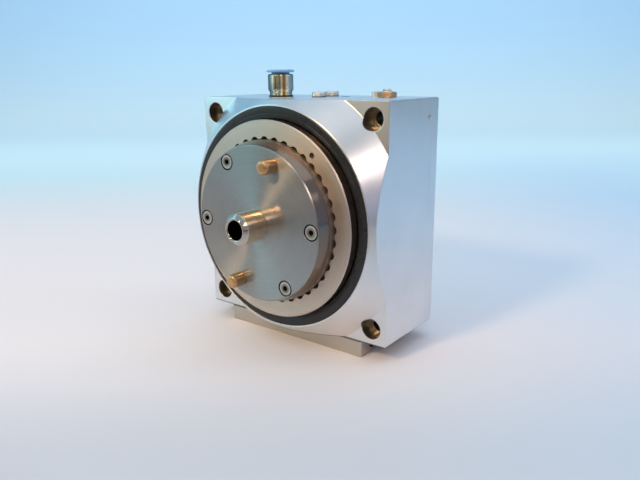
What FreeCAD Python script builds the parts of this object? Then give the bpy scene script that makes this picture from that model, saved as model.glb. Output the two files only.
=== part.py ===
import FreeCAD, Part
import os
import re
import Sketcher
from FreeCAD import Placement, Rotation, Vector

# Pneumatic rotary indexing table on a foot plate, in millimetres.
# Frame: origin in the middle of the foot's underside, +Z up, the turning axis along Y.
# The table faces -Y. A "station" is a distance forward from the rear face along the axis.

SIZES = {
    # Housing block, rear cover and foot plate
    "block_width": 100.0,
    "block_height": 100.0,
    "housing_depth": 33.5,
    "cover_thickness": 6.5,
    "foot_width": 76.0,
    "foot_thickness": 7.5,
    "edge_chamfer": 0.5,
    # Turned boss on the front of the block
    "boss_height": 10.0,
    "rim_radius": 47.9,
    "boss_base_radius": 57.9,
    # Mounting holes through the four corners
    "corner_inset": 7.0,
    "corner_hole_radius": 2.75,
    "corner_counterbore_radius": 4.5,
    "corner_counterbore_depth": 6.0,
    # Index ring with its round setting pockets
    "ring_radius": 42.2,
    "ring_thickness": 6.0,
    "ring_proud": 3.8,
    "ring_chamfer": 0.5,
    "ring_bore_radius": 34.4,
    "pocket_count": 40,
    "pocket_radius": 2.0,
    "pocket_setback": 0.9,
    "pocket_phase": 1.5,
    "key_pocket": 22,
    "mark_hole_radius": 1.2,
    "mark_hole_depth": 4.0,
    "mark_hole_circle_radius": 37.6,
    # Wiper seal round the ring
    "seal_outer_radius": 47.4,
    "seal_depth": 6.0,
    "seal_body_radius": 44.2,
    "seal_lip_gap": 0.15,
    "seal_lip_thickness": 1.0,
    "seal_lip_setback": 0.9,
    "seal_round": 0.3,
    # Turntable hub
    "flange_thickness": 5.5,
    "flange_gap": 0.8,
    "flange_clearance": 0.8,
    "collar_height": 2.5,
    "shoulder_radius": 30.0,
    "shaft_radius": 10.0,
    "shaft_end_setback": 0.8,
    "hollow_radius": 4.0,
    # Adapter plate with its spigot and dowel pins
    "adapter_radius": 32.8,
    "adapter_thickness": 5.5,
    "adapter_chamfer": 0.5,
    "spigot_radius": 6.5,
    "spigot_length": 12.2,
    "spigot_chamfer": 1.5,
    "spigot_seat_depth": 12.3,
    "spigot_shank_radius": 5.5,
    "bore_chamfer": 0.4,
    "pin_radius": 3.0,
    "pin_shank_radius": 2.5,
    "pin_projection": 6.4,
    "pin_seat_depth": 6.3,
    "pin_round": 1.2,
    "pin_circle_radius": 27.0,
    "pin_angle": 68.5,
    # Front bearing, 55 x 72 x 9
    "front_bore_radius": 27.5,
    "front_outer_radius": 36.0,
    "front_bearing_width": 9.0,
    "front_race_floor": 1.65,
    "front_ball_count": 22,
    "front_clip_thickness": 1.5,
    "front_clip_depth": 1.5,
    "front_clip_setback": 1.0,
    "front_clip_reach": 2.7,
    # Rear bearing, 20 x 32 x 7
    "rear_outer_radius": 16.0,
    "rear_bearing_width": 7.0,
    "rear_race_floor": 1.15,
    "rear_ball_count": 12,
    "rear_boss_wall": 4.0,
    "rear_recess_depth": 3.0,
    "rear_recess_radius": 13.0,
    "shaft_clip_thickness": 1.2,
    "shaft_clip_depth": 0.6,
    "shaft_clip_width": 2.2,
    "clip_gap": 5.0,
    # Shares of both bearings
    "race_opening_share": 1.25,
    "ball_clearance": 0.1,
    "cage_wall": 0.8,
    "cage_share": 0.45,
    # Index disc with one notch for each station of the table
    "station_count": 12,
    "index_disc_radius": 30.0,
    "index_disc_thickness": 8.5,
    "notch_depth": 4.0,
    "notch_clearance": 0.2,
    # Drive gear, roller clutch and rack
    "gear_module": 1.25,
    "gear_teeth": 46,
    "gear_face": 8.0,
    "gear_rim": 4.5,
    "gear_hub_wall": 4.0,
    "gear_window_radius": 2.4,
    "gear_window_count": 6,
    "gear_backlash": 0.25,
    "pressure_angle": 20.0,
    "cavity_gap": 2.0,
    "clutch_wall": 0.9,
    "clutch_roller_radius": 1.0,
    "clutch_roller_count": 10,
    "clutch_inset": 0.1,
    "washer_thickness": 0.8,
    "rack_station": 13.0,
    "rack_radius": 5.5,
    "rack_offset": 3.6,
    "rack_gap_count": 12,
    "rack_gaps_above": 4,
    "rack_foot_gap": 2.5,
    "rack_top": 23.0,
    "rack_bore_top": 41.0,
    "rack_seal_width": 2.5,
    "rack_seal_depth": 1.3,
    "rack_seal_inset": 3.5,
    "rack_top_seal_inset": 2.0,
    # Lock bolt under the index disc
    "lock_station": 24.5,
    "lock_rest_gap": 0.5,
    "lock_nose_radius": 2.5,
    "lock_nose_length": 3.7,
    "lock_nose_chamfer": 0.5,
    "lock_stem_radius": 4.0,
    "lock_piston_radius": 7.0,
    "lock_piston_height": 4.0,
    "lock_foot_gap": 0.8,
    "lock_seal_width": 2.0,
    "lock_seal_depth": 1.2,
    "bush_wall": 1.0,
    "bush_length": 4.9,
    "bush_setback": 0.6,
    "spring_wire_radius": 0.4,
    "spring_coil_radius": 5.5,
    "spring_turns": 4,
    # Push-in fitting on the top face
    "fitting_place": -17.0,
    "fitting_station": 24.0,
    "fitting_thread_radius": 4.8,
    "fitting_thread_length": 8.0,
    "fitting_washer_radius": 5.6,
    "fitting_washer_height": 0.6,
    "fitting_neck_radius": 5.1,
    "fitting_neck_height": 1.8,
    "fitting_body_radius": 5.75,
    "fitting_body_height": 7.5,
    "fitting_chamfer": 0.35,
    "fitting_cavity_radius": 4.35,
    "fitting_cavity_depth": 6.5,
    "tube_radius": 3.05,
    "tube_socket_depth": 7.9,
    "fitting_way_radius": 2.0,
    "tube_seal_height": 1.6,
    "grip_ring_height": 0.4,
    "grip_ring_gap": 0.2,
    "collar_radius": 6.25,
    "collar_flange_height": 1.2,
    "collar_gap": 0.7,
    "collar_skirt_radius": 4.05,
    "collar_skirt_length": 3.6,
    # Plugs, port, throttle screw and stop screw on the top face
    "plug_head_radius": 3.1,
    "plug_head_height": 1.9,
    "plug_thread_radius": 2.5,
    "plug_thread_length": 7.0,
    "plug_seal_height": 0.3,
    "plug_chamfer": 0.4,
    "front_plug_place": 3.1,
    "front_plug_station": 22.0,
    "rear_plug_place": 2.2,
    "rear_plug_station": 11.0,
    "port_place": 11.2,
    "port_station": 13.0,
    "port_radius": 2.1,
    "port_depth": 9.0,
    "throttle_place": 25.4,
    "throttle_station": 10.5,
    "throttle_radius": 2.0,
    "throttle_proud": 2.2,
    "throttle_length": 7.0,
    "throttle_slot_width": 0.6,
    "throttle_slot_depth": 0.8,
    "stop_radius": 2.0,
    "stop_proud": 3.4,
    "stop_end_gap": 0.3,
    "nut_across": 7.0,
    "nut_height": 2.3,
    "nut_corner_drop": 0.4,
    # Set screw in the right side
    "side_screw_station": 8.0,
    "side_screw_height": 42.3,
    "side_screw_radius": 1.25,
    "side_screw_length": 3.0,
    "side_screw_setback": 0.3,
    # Screws: the 4 mm ones hold cover and foot, the 3 mm ones the turntable
    "large_screw_radius": 2.0,
    "large_head_radius": 3.5,
    "large_head_height": 4.0,
    "large_socket_across": 3.0,
    "small_screw_radius": 1.5,
    "small_head_radius": 2.75,
    "small_head_height": 3.0,
    "small_socket_across": 2.5,
    "countersunk_head_radius": 3.3,
    "countersunk_socket_across": 2.0,
    "socket_depth": 1.6,
    "head_clearance": 0.25,
    "head_setback": 0.4,
    "upper_screw_place": 20.0,
    "lower_screw_place": 10.0,
    "cover_screw_grip": 10.0,
    "foot_screw_grip": 8.0,
    "foot_front_screw_place": 22.0,
    "foot_front_screw_station": 33.5,
    "foot_rear_screw_place": 19.0,
    "foot_rear_screw_station": 9.5,
    "ring_screw_circle_radius": 39.2,
    "ring_screw_count": 6,
    "ring_screw_grip": 4.0,
    "adapter_screw_circle_radius": 29.0,
    "adapter_screw_length": 12.0,
    "disc_screw_circle_radius": 19.5,
    "disc_screw_count": 4,
    "disc_screw_grip": 7.0,
    # Cover dowels, foot port and cylinder seals
    "cover_dowel_radius": 2.0,
    "cover_dowel_length": 11.0,
    "cover_dowel_wall": 1.5,
    "upper_dowel_place": -32.0,
    "lower_dowel_place": 0.0,
    "foot_port_station": 31.0,
    "foot_port_radius": 2.1,
    "foot_way_radius": 1.2,
    "foot_plug_length": 4.0,
    "cylinder_seal_wire": 0.75,
    "cylinder_seal_gap": 1.6,
    # Clearances
    "running_gap": 0.4,
    "slide_clearance": 0.05,
    "press_clearance": 0.02,
    "thread_clearance": 0.05,
    "hole_clearance": 0.2,
}

# Stations along the axis and places across it, as expressions of the sheet's sizes
FLATS = "(cover_thickness + housing_depth)"
RIM = f"({FLATS} + boss_height)"
RING_FACE = f"({RIM} + ring_proud)"
RING_BACK = f"({RING_FACE} - ring_thickness)"
FLANGE_BACK = f"({RING_BACK} - flange_thickness)"
COLLAR_TOP = f"({RING_FACE} + collar_height)"
ADAPTER_FACE = f"({COLLAR_TOP} + adapter_thickness)"
SPIGOT_TIP = f"({ADAPTER_FACE} + spigot_length)"
SPIGOT_BACK = f"({COLLAR_TOP} - spigot_seat_depth)"
SEAL_BACK = f"({RIM} - seal_depth)"
SEAT_FLOOR = f"({FLANGE_BACK} - flange_gap)"
CLIP_FRONT = f"({SEAT_FLOOR} - front_clip_setback)"
BEARING_FRONT = f"({CLIP_FRONT} - front_clip_thickness)"
BEARING_BACK = f"({BEARING_FRONT} - front_bearing_width)"
DISC_BACK = f"({BEARING_BACK} - index_disc_thickness)"
FRONT_WASHER_BACK = f"({DISC_BACK} - washer_thickness)"
GEAR_HUB_FRONT = f"({FRONT_WASHER_BACK} - running_gap)"
REAR_BEARING_FRONT = "(rear_recess_depth + rear_bearing_width)"
REAR_WASHER_FRONT = f"({REAR_BEARING_FRONT} + washer_thickness)"
GEAR_HUB_BACK = f"({REAR_WASHER_FRONT} + running_gap)"
GEAR_BACK = "(rack_station - gear_face / 2)"
GEAR_FRONT = "(rack_station + gear_face / 2)"
PITCH_RADIUS = "(gear_module * gear_teeth / 2)"
TIP_RADIUS = f"({PITCH_RADIUS} + gear_module)"
CLUTCH_RADIUS = "(shaft_radius + 2 * clutch_roller_radius + clutch_wall + 3 * slide_clearance)"
CAVITY_RADIUS = f"(max({TIP_RADIUS}; index_disc_radius) + cavity_gap)"
RACK_PLACE = f"({PITCH_RADIUS} + rack_offset)"
RACK_PITCH = "(pi * gear_module)"
RACK_STROKE = f"({PITCH_RADIUS} * 2 * pi / station_count)"
FRONT_BALL = (
    "(min((front_outer_radius - front_bore_radius) / 2 - front_race_floor;"
    " front_bearing_width / 2 - cage_wall) - ball_clearance)"
)
REAR_BALL = (
    "(min((rear_outer_radius - shaft_radius) / 2 - rear_race_floor;"
    " rear_bearing_width / 2 - cage_wall) - ball_clearance)"
)
FRONT_BALL_CIRCLE = "((front_bore_radius + front_outer_radius) / 2)"
FRONT_BALL_STATION = f"({BEARING_BACK} + front_bearing_width / 2)"
REAR_BALL_CIRCLE = "((shaft_radius + rear_outer_radius) / 2)"
REAR_BALL_STATION = "(rear_recess_depth + rear_bearing_width / 2)"
CORNER_X = "(block_width / 2 - corner_inset)"
CORNER_Z = "(block_height / 2 - corner_inset)"
AXIS = "(foot_thickness + block_height / 2)"
TOP = "(foot_thickness + block_height)"
BUSH_TOP = f"({CAVITY_RADIUS} + bush_setback)"
BUSH_BACK = f"({BUSH_TOP} + bush_length)"
HUB_RADIUS = "(ring_bore_radius - hole_clearance)"
POCKET_CIRCLE = "(ring_bore_radius - pocket_setback)"

UPWARD = Rotation()
DOWNWARD = Rotation(Vector(1, 0, 0), 180)
FORWARD = Rotation(Vector(1, 0, 0), 90)
BACKWARD = Rotation(Vector(1, 0, 0), -90)
RIGHTWARD = Rotation(Vector(0, 1, 0), 90)

OVERCUT = 1.0
ALIAS = re.compile(r"\b(" + "|".join(SIZES) + r")\b")

doc = FreeCAD.newDocument("RotaryIndexingTable")
sheet = doc.addObject("Spreadsheet::Sheet", "Sizes")
for row, (alias, size) in enumerate(SIZES.items(), start=1):
    sheet.set(f"A{row}", alias)
    sheet.set(f"B{row}", str(size))
    sheet.setAlias(f"B{row}", alias)
doc.recompute()
subparts = []


def tied(expression):
    """Give the expression with the sheet's name before each alias."""
    return ALIAS.sub(r"Sizes.\1", expression)


def bind(thing, expressions):
    """Bind properties of a document object to expressions of the sheet's sizes."""
    for property_name, expression in expressions.items():
        thing.setExpression(property_name, tied(expression))


def count_of(alias):
    """Read a whole number, such as how many teeth, from the sheet."""
    return int(round(sheet.get(alias)))


def row_y(station):
    """Y of a station in the part's frame."""
    return f"({FLATS} / 2 - ({station}))"


def polar(circle, angle):
    """X and Z of a point on a circle about the turning axis, seen from the front."""
    return f"({circle}) * cos({angle})", f"{AXIS} + ({circle}) * sin({angle})"


def place(thing, x, y, z, turn):
    """Put an object at a bound place with a fixed turn."""
    thing.Placement = Placement(Vector(), turn)
    bind(thing, {"Placement.Base.x": x, "Placement.Base.y": y, "Placement.Base.z": z})
    return thing


def on_axis(thing):
    """Put an object on the turning axis, its own Z running forward from the rear face."""
    return place(thing, "0", row_y("0"), AXIS, FORWARD)


def keep(thing, label):
    """Label an object as a sub-part that is written to a file of that name."""
    thing.Label = label
    subparts.append(thing)
    return thing


def origin_feature(body, role):
    """Find one of a body's own origin planes or axes."""
    return next(feature for feature in body.Origin.OriginFeatures if feature.Role == role)


def outline(body, role, corners, lift="0"):
    """Sketch a closed outline on an origin plane, each corner bound to two expressions."""
    sketch = body.newObject("Sketcher::SketchObject", body.Name + "_outline")
    sketch.AttachmentSupport = [(origin_feature(body, role), "")]
    sketch.MapMode = "FlatFace"
    bind(sketch, {"AttachmentOffset.Base.z": lift})
    start = Vector(2, 0, 0)
    turn = 360.0 / len(corners)
    spots = [Rotation(Vector(0, 0, 1), turn * i).multVec(start) for i in range(len(corners))]
    for i, spot in enumerate(spots):
        sketch.addGeometry(Part.LineSegment(spot, spots[(i + 1) % len(spots)]), False)
    for i in range(len(corners)):
        sketch.addConstraint(Sketcher.Constraint("Coincident", i, 2, (i + 1) % len(corners), 1))
    for i, (across, along) in enumerate(corners):
        for kind, axis, expression, value in (
            ("DistanceX", -2, across, spots[i].x),
            ("DistanceY", -1, along, spots[i].y),
        ):
            if expression == "0":
                sketch.addConstraint(Sketcher.Constraint("PointOnObject", i, 1, axis))
            else:
                constraint = sketch.addConstraint(Sketcher.Constraint(kind, -1, 1, i, 1, value))
                bind(sketch, {f"Constraints[{constraint}]": expression})
    return sketch


def new_body(name):
    """Start an empty body."""
    return doc.addObject("PartDesign::Body", name)


def revolve(body, corners, kind="Revolution"):
    """Add or cut, as a Revolution or a Groove, an outline of (radius, height) about the body's Z axis."""
    sketch = outline(body, "XZ_Plane", corners)
    feature = body.newObject("PartDesign::" + kind, body.Name + "_turned")
    feature.Profile = sketch
    feature.ReferenceAxis = (sketch, ["V_Axis"])
    feature.Angle = 360
    doc.recompute()
    return feature


def turned(name, corners):
    """Make a turned body from an outline of (radius, height) corners."""
    body = new_body(name)
    revolve(body, corners)
    return body


def ring(name, inner, outer, low, high):
    """Make a turned ring of rectangular section."""
    return turned(name, [(inner, low), (outer, low), (outer, high), (inner, high)])


def pad(body, corners, lift, height):
    """Raise an outline from a height on the body's Z axis."""
    feature = body.newObject("PartDesign::Pad", body.Name + "_pad")
    feature.Profile = outline(body, "XY_Plane", corners, lift)
    bind(feature, {"Length": height})
    doc.recompute()
    return feature


def pocket(body, corners, top, depth):
    """Sink an outline downward from a height on the body's Z axis."""
    feature = body.newObject("PartDesign::Pocket", body.Name + "_pocket")
    feature.Profile = outline(body, "XY_Plane", corners, top)
    bind(feature, {"Length": depth})
    doc.recompute()
    return feature


def slot_through(body, role, corners):
    """Cut an outline both ways through the whole body."""
    feature = body.newObject("PartDesign::Pocket", body.Name + "_slot")
    feature.Profile = outline(body, role, corners)
    feature.Type = "ThroughAll"
    feature.SideType = "Symmetric"
    doc.recompute()
    return feature


def radial_hole(body, radius, height, reach):
    """Cut a round hole from the body's Z axis outward along X."""
    sketch = body.newObject("Sketcher::SketchObject", body.Name + "_circle")
    sketch.AttachmentSupport = [(origin_feature(body, "YZ_Plane"), "")]
    sketch.MapMode = "FlatFace"
    sketch.addGeometry(Part.Circle(Vector(0, 1, 0), Vector(0, 0, 1), 1), False)
    sketch.addConstraint(Sketcher.Constraint("PointOnObject", 0, 3, -2))
    size = sketch.addConstraint(Sketcher.Constraint("Radius", 0, 1))
    level = sketch.addConstraint(Sketcher.Constraint("DistanceY", -1, 1, 0, 3, 1))
    bind(sketch, {f"Constraints[{size}]": radius, f"Constraints[{level}]": height})
    feature = body.newObject("PartDesign::Pocket", body.Name + "_hole")
    feature.Profile = sketch
    feature.Reversed = True
    bind(feature, {"Length": reach})
    doc.recompute()
    return feature


def repeat_round(body, feature, count):
    """Repeat a feature evenly round the body's Z axis, as many times as a sheet count says."""
    pattern = body.newObject("PartDesign::PolarPattern", body.Name + "_round")
    pattern.Originals = [feature]
    pattern.Axis = (origin_feature(body, "Z_Axis"), [""])
    pattern.Angle = 360
    bind(pattern, {"Occurrences": count})
    body.Tip = pattern
    doc.recompute()
    return pattern


def dress(body, kind, size, chosen):
    """Chamfer or fillet the edges of a body's tip that a test picks."""
    base = body.Tip
    names = [f"Edge{i}" for i, edge in enumerate(base.Shape.Edges, start=1) if chosen(edge)]
    feature = body.newObject("PartDesign::" + kind, body.Name + "_" + kind.lower())
    feature.Base = (base, names)
    bind(feature, {"Radius" if kind == "Fillet" else "Size": size})
    body.Tip = feature
    doc.recompute()
    return feature


def level_edge(edge, height):
    """Tell whether an edge lies level at a height of its own body."""
    box = edge.BoundBox
    return abs(box.ZMin - height) < 1e-4 and abs(box.ZMax - height) < 1e-4


def upright_edge(edge):
    """Tell whether an edge runs straight along its body's Z axis."""
    return edge.BoundBox.XLength < 1e-4 and edge.BoundBox.YLength < 1e-4


def square(half_width, half_height):
    """Corners of a rectangle about the origin."""
    return [
        (f"-{half_width}", f"-{half_height}"),
        (half_width, f"-{half_height}"),
        (half_width, half_height),
        (f"-{half_width}", half_height),
    ]


def hexagon(across):
    """Corners of a hexagon about the origin, from its width across flats."""
    tilt = 15
    angles = [tilt + 60 * i for i in range(6)]
    return [(f"{across} / sqrt(3) * cos({a})", f"{across} / sqrt(3) * sin({a})") for a in angles]


def rod(name, radius, length, x, y, z, turn):
    """Round rod from a place along a direction."""
    cylinder = doc.addObject("Part::Cylinder", name)
    bind(cylinder, {"Radius": radius, "Height": length})
    return place(cylinder, x, y, z, turn)


def torus(name, circle, wire):
    """Ring of round section about its own Z axis."""
    body = doc.addObject("Part::Torus", name)
    bind(body, {"Radius1": circle, "Radius2": wire})
    return body


def compound(name, members):
    """Hold several objects as one."""
    whole = doc.addObject("Part::Compound", name)
    whole.Links = members
    return whole


def cut(name, base, tools):
    """Take several tools out of a base."""
    result = doc.addObject("Part::Cut", name)
    result.Base = base
    result.Tool = compound(name + "_tools", tools) if len(tools) > 1 else tools[0]
    return result


def copies(name, master, places, turn):
    """Give separate copies of a master piece, one at each place."""
    links = []
    for x, y, z in places:
        link = doc.addObject("App::Link", name + "_copy")
        link.LinkedObject = master
        links.append(place(link, x, y, z, turn))
    return compound(name, links)


def around(alias, circle, station, phase="0"):
    """Places spread evenly on a circle about the axis, as many as a sheet count says."""
    spots = []
    for i in range(count_of(alias)):
        x, z = polar(circle, f"{phase} + 360 / {alias} * {i}")
        spots.append((x, row_y(station), z))
    return spots


def socket(body, across, top):
    """Sink a hexagon socket into the end of a screw."""
    pocket(body, hexagon(across), top, "socket_depth")


def cap_screw(name, size, grip):
    """Socket-head screw: its seat is at Z 0, the head stands up and the shank hangs down."""
    body = turned(name, [
        ("0", f"-({grip})"),
        (f"{size}_screw_radius", f"-({grip})"),
        (f"{size}_screw_radius", "0"),
        (f"{size}_head_radius", "0"),
        (f"{size}_head_radius", f"{size}_head_height"),
        ("0", f"{size}_head_height"),
    ])
    socket(body, f"{size}_socket_across", f"{size}_head_height")
    return body


def corner_places(station):
    """The four mounting holes at one station."""
    return [
        (f"{side_x} * {CORNER_X}", row_y(station), f"{AXIS} + {side_z} * {CORNER_Z}")
        for side_x in (-1, 1)
        for side_z in (-1, 1)
    ]


def cover_screw_places(station):
    """The four screws of the rear cover at one station."""
    return [
        (f"{side} * {row}_screw_place", row_y(station), f"{AXIS} {sign} {CORNER_Z}")
        for row, sign in (("upper", "+"), ("lower", "-"))
        for side in (-1, 1)
    ]


def cover_dowel_places(station):
    """The two dowels between the cover and the housing at one station."""
    return [
        ("upper_dowel_place", row_y(station), f"{AXIS} + {CORNER_Z}"),
        ("lower_dowel_place", row_y(station), f"{AXIS} - {CORNER_Z}"),
    ]


def foot_screw_places(height):
    """The four screws of the foot plate at one height."""
    return [
        (f"{side} * foot_{end}_screw_place", row_y(f"foot_{end}_screw_station"), height)
        for end in ("front", "rear")
        for side in (-1, 1)
    ]


def plug_places(height):
    """The two channel plugs on the top face at one height."""
    return [(f"{end}_plug_place", row_y(f"{end}_plug_station"), height) for end in ("front", "rear")]


def pin_places(station):
    """The two dowel pins of the adapter plate, opposite each other."""
    return [(x, row_y(station), z) for x, z in (polar("pin_circle_radius", f"pin_angle + {a}") for a in (0, 180))]


def adapter_screw_places(station):
    """The four adapter screws, on a sixth pitch that leaves the pins' two places free."""
    turns = (0, 120, 180, 300)
    spots = [polar("adapter_screw_circle_radius", f"pocket_phase + {a}") for a in turns]
    return [(x, row_y(station), z) for x, z in spots]


def drill(name, radius, length, places, turn):
    """Like holes of one radius and length, one at each place."""
    return [rod(name, radius, length, x, y, z, turn) for x, y, z in places]


def housing():
    """Square block with a turned boss, a stepped bore and drilled ways."""
    body = new_body("housing_block")
    half = square("block_width / 2", "block_height / 2")
    pad(body, half, "cover_thickness", "housing_depth + boss_height")
    dress(body, "Chamfer", "edge_chamfer", upright_edge)
    revolve(body, [
        ("rim_radius", RIM),
        ("boss_base_radius", FLATS),
        ("block_width", FLATS),
        ("block_width", f"{RIM} + {OVERCUT}"),
        ("rim_radius", f"{RIM} + {OVERCUT}"),
    ], "Groove")
    clip_radius = "front_outer_radius + front_clip_depth"
    flange_bore = "ring_radius + flange_clearance"
    revolve(body, [
        ("0", f"cover_thickness - {OVERCUT}"),
        (CAVITY_RADIUS, f"cover_thickness - {OVERCUT}"),
        (CAVITY_RADIUS, BEARING_BACK),
        ("front_outer_radius", BEARING_BACK),
        ("front_outer_radius", BEARING_FRONT),
        (clip_radius, BEARING_FRONT),
        (clip_radius, CLIP_FRONT),
        ("front_outer_radius", CLIP_FRONT),
        ("front_outer_radius", SEAT_FLOOR),
        (flange_bore, SEAT_FLOOR),
        (flange_bore, SEAL_BACK),
        ("seal_outer_radius", SEAL_BACK),
        ("seal_outer_radius", f"{RIM} + {OVERCUT}"),
        ("0", f"{RIM} + {OVERCUT}"),
    ], "Groove")
    on_axis(body)
    thread = "large_screw_radius + thread_clearance"
    bore_floor = f"(foot_thickness - {OVERCUT})"
    rack_y = row_y("rack_station")
    lock_y = row_y("lock_station")
    holes = drill("corner_hole", "corner_hole_radius", RIM, corner_places("0"), FORWARD)
    holes += drill(
        "corner_counterbore",
        "corner_counterbore_radius",
        f"corner_counterbore_depth + boss_height + {OVERCUT}",
        corner_places(f"{FLATS} - corner_counterbore_depth"),
        FORWARD,
    )
    cover_places = cover_screw_places("cover_thickness")
    holes += drill("cover_thread", thread, "cover_screw_grip", cover_places, FORWARD)
    holes += drill(
        "cover_dowel_hole",
        "cover_dowel_radius + press_clearance",
        "cover_dowel_length",
        cover_dowel_places("cover_dowel_wall"),
        FORWARD,
    )
    foot_places = foot_screw_places("foot_thickness")
    holes += drill("foot_thread", thread, "foot_screw_grip + 2 * head_setback", foot_places, UPWARD)
    plug_length = f"plug_thread_length + {OVERCUT}"
    plug_radius = "plug_thread_radius + thread_clearance"
    holes += drill("plug_thread", plug_radius, plug_length, plug_places(f"{TOP} - plug_thread_length"), UPWARD)
    holes += [
        rod("rack_bore", "rack_radius + slide_clearance", f"{AXIS} + rack_bore_top - foot_thickness + {OVERCUT}",
            RACK_PLACE, rack_y, bore_floor, UPWARD),
        rod("stop_thread", "stop_radius + thread_clearance", "block_height / 2",
            RACK_PLACE, rack_y, f"{AXIS} + rack_bore_top - {OVERCUT}", UPWARD),
        rod("throttle_thread", "throttle_radius + thread_clearance", "throttle_length + throttle_proud",
            "throttle_place", row_y("throttle_station"), f"{TOP} - throttle_length", UPWARD),
        rod("port", "port_radius", f"port_depth + {OVERCUT}",
            "port_place", row_y("port_station"), f"{TOP} - port_depth", UPWARD),
        rod("fitting_thread", "fitting_thread_radius + thread_clearance", f"fitting_thread_length + {OVERCUT}",
            "fitting_place", row_y("fitting_station"), f"{TOP} - fitting_thread_length", UPWARD),
        rod("lock_bore", "lock_piston_radius + slide_clearance", f"{AXIS} - {BUSH_BACK} - {bore_floor}",
            "0", lock_y, bore_floor, UPWARD),
        rod("bush_bore", "lock_stem_radius + slide_clearance + bush_wall", f"{BUSH_BACK}",
            "0", lock_y, f"{AXIS} - {BUSH_BACK} - slide_clearance", UPWARD),
        rod("side_thread", "side_screw_radius + thread_clearance",
            f"side_screw_length + side_screw_setback + {OVERCUT}",
            "block_width / 2 - side_screw_length - side_screw_setback",
            row_y("side_screw_station"), f"{AXIS} + side_screw_height", RIGHTWARD),
    ]
    keep(cut("housing", body, holes), "housing")


def rear_cover():
    """Plate that closes the back of the housing and carries the rear bearing in a boss."""
    body = new_body("cover_block")
    pad(body, square("block_width / 2", "block_height / 2"), "0", "cover_thickness")
    dress(body, "Chamfer", "edge_chamfer", lambda edge: upright_edge(edge) or level_edge(edge, 0))
    boss_radius = "rear_outer_radius + rear_boss_wall"
    revolve(body, [
        ("rear_recess_radius", "cover_thickness / 2"),
        (boss_radius, "cover_thickness / 2"),
        (boss_radius, REAR_BEARING_FRONT),
        ("rear_recess_radius", REAR_BEARING_FRONT),
    ])
    revolve(body, [
        ("0", f"-{OVERCUT}"),
        ("rear_recess_radius", f"-{OVERCUT}"),
        ("rear_recess_radius", "rear_recess_depth"),
        ("rear_outer_radius", "rear_recess_depth"),
        ("rear_outer_radius", f"{REAR_BEARING_FRONT} + {OVERCUT}"),
        ("0", f"{REAR_BEARING_FRONT} + {OVERCUT}"),
    ], "Groove")
    on_axis(body)
    dowel_places = cover_dowel_places("cover_dowel_wall")
    head_depth = "(large_head_height + head_setback)"
    holes = drill("cover_corner_hole", "corner_hole_radius", FLATS, corner_places(f"-{OVERCUT}"), FORWARD)
    holes += drill("cover_screw_hole", "large_screw_radius + hole_clearance", FLATS,
                   cover_screw_places(f"-{OVERCUT}"), FORWARD)
    holes += drill("cover_screw_head", "large_head_radius + head_clearance", f"{head_depth} + {OVERCUT}",
                   cover_screw_places(f"-{OVERCUT}"), FORWARD)
    holes += drill("cover_dowel_seat", "cover_dowel_radius + press_clearance", "cover_dowel_length",
                   dowel_places, FORWARD)
    keep(cut("rear_cover", body, holes), "rear_cover")
    master = cap_screw("cover_screw", "large", f"cover_thickness - {head_depth} + cover_screw_grip - head_setback")
    screws = copies("cover_screws", master, cover_screw_places(head_depth), BACKWARD)
    keep(screws, "rear_cover_screws")
    dowels = drill("cover_dowel", "cover_dowel_radius", "cover_dowel_length", dowel_places, FORWARD)
    keep(compound("cover_dowel_pair", dowels), "cover_dowels")


def foot():
    """Foot plate that closes the two cylinders from below, with its side port, screws and seals."""
    body = new_body("foot_block")
    pad(body, square("foot_width / 2", f"{FLATS} / 2"), "0", "foot_thickness")
    dress(body, "Chamfer", "edge_chamfer", lambda edge: upright_edge(edge) or level_edge(edge, 0))
    head_depth = "(large_head_height + head_setback)"
    middle = "foot_thickness / 2"
    rack_y = row_y("rack_station")
    lock_y = row_y("lock_station")
    tools = drill("foot_screw_hole", "large_screw_radius + hole_clearance", TOP,
                  foot_screw_places(f"-{OVERCUT}"), UPWARD)
    tools += drill("foot_screw_head", "large_head_radius + head_clearance", f"{head_depth} + {OVERCUT}",
                   foot_screw_places(f"-{OVERCUT}"), UPWARD)
    tools.append(rod("foot_port", "foot_port_radius", f"foot_width / 2 - {RACK_PLACE} + foot_port_radius + {OVERCUT}",
                     f"{RACK_PLACE} - foot_port_radius", row_y("foot_port_station"), middle, RIGHTWARD))
    tools.append(rod("foot_way", "foot_way_radius", f"foot_port_station + {OVERCUT}",
                     RACK_PLACE, row_y(f"-{OVERCUT}"), middle, FORWARD))
    tools.append(rod("foot_riser", "foot_way_radius", "foot_thickness", RACK_PLACE, rack_y, middle, UPWARD))
    seals = []
    for name, radius, x, y in (
        ("rack_cylinder_seal", "rack_radius", RACK_PLACE, rack_y),
        ("lock_cylinder_seal", "lock_piston_radius", "0", lock_y),
    ):
        circle = f"({radius} + cylinder_seal_gap)"
        groove = ring(
            name + "_groove",
            f"{circle} - cylinder_seal_wire - press_clearance",
            f"{circle} + cylinder_seal_wire + press_clearance",
            "foot_thickness - 2 * cylinder_seal_wire",
            f"foot_thickness + {OVERCUT}",
        )
        tools.append(place(groove, x, y, "0", UPWARD))
        seal = torus(name, circle, "cylinder_seal_wire")
        seals.append((place(seal, x, y, "foot_thickness - cylinder_seal_wire", UPWARD), name))
    keep(cut("foot_plate", body, tools), "foot_plate")
    for seal, label in seals:
        keep(seal, label)
    master = cap_screw("foot_screw", "large", f"foot_thickness - {head_depth} + foot_screw_grip")
    keep(copies("foot_screw_set", master, foot_screw_places(head_depth), DOWNWARD), "foot_screws")
    plug = rod("foot_way_plug", "foot_way_radius - press_clearance", "foot_plug_length",
               RACK_PLACE, row_y("0"), middle, FORWARD)
    keep(plug, "foot_channel_plug")


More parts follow.
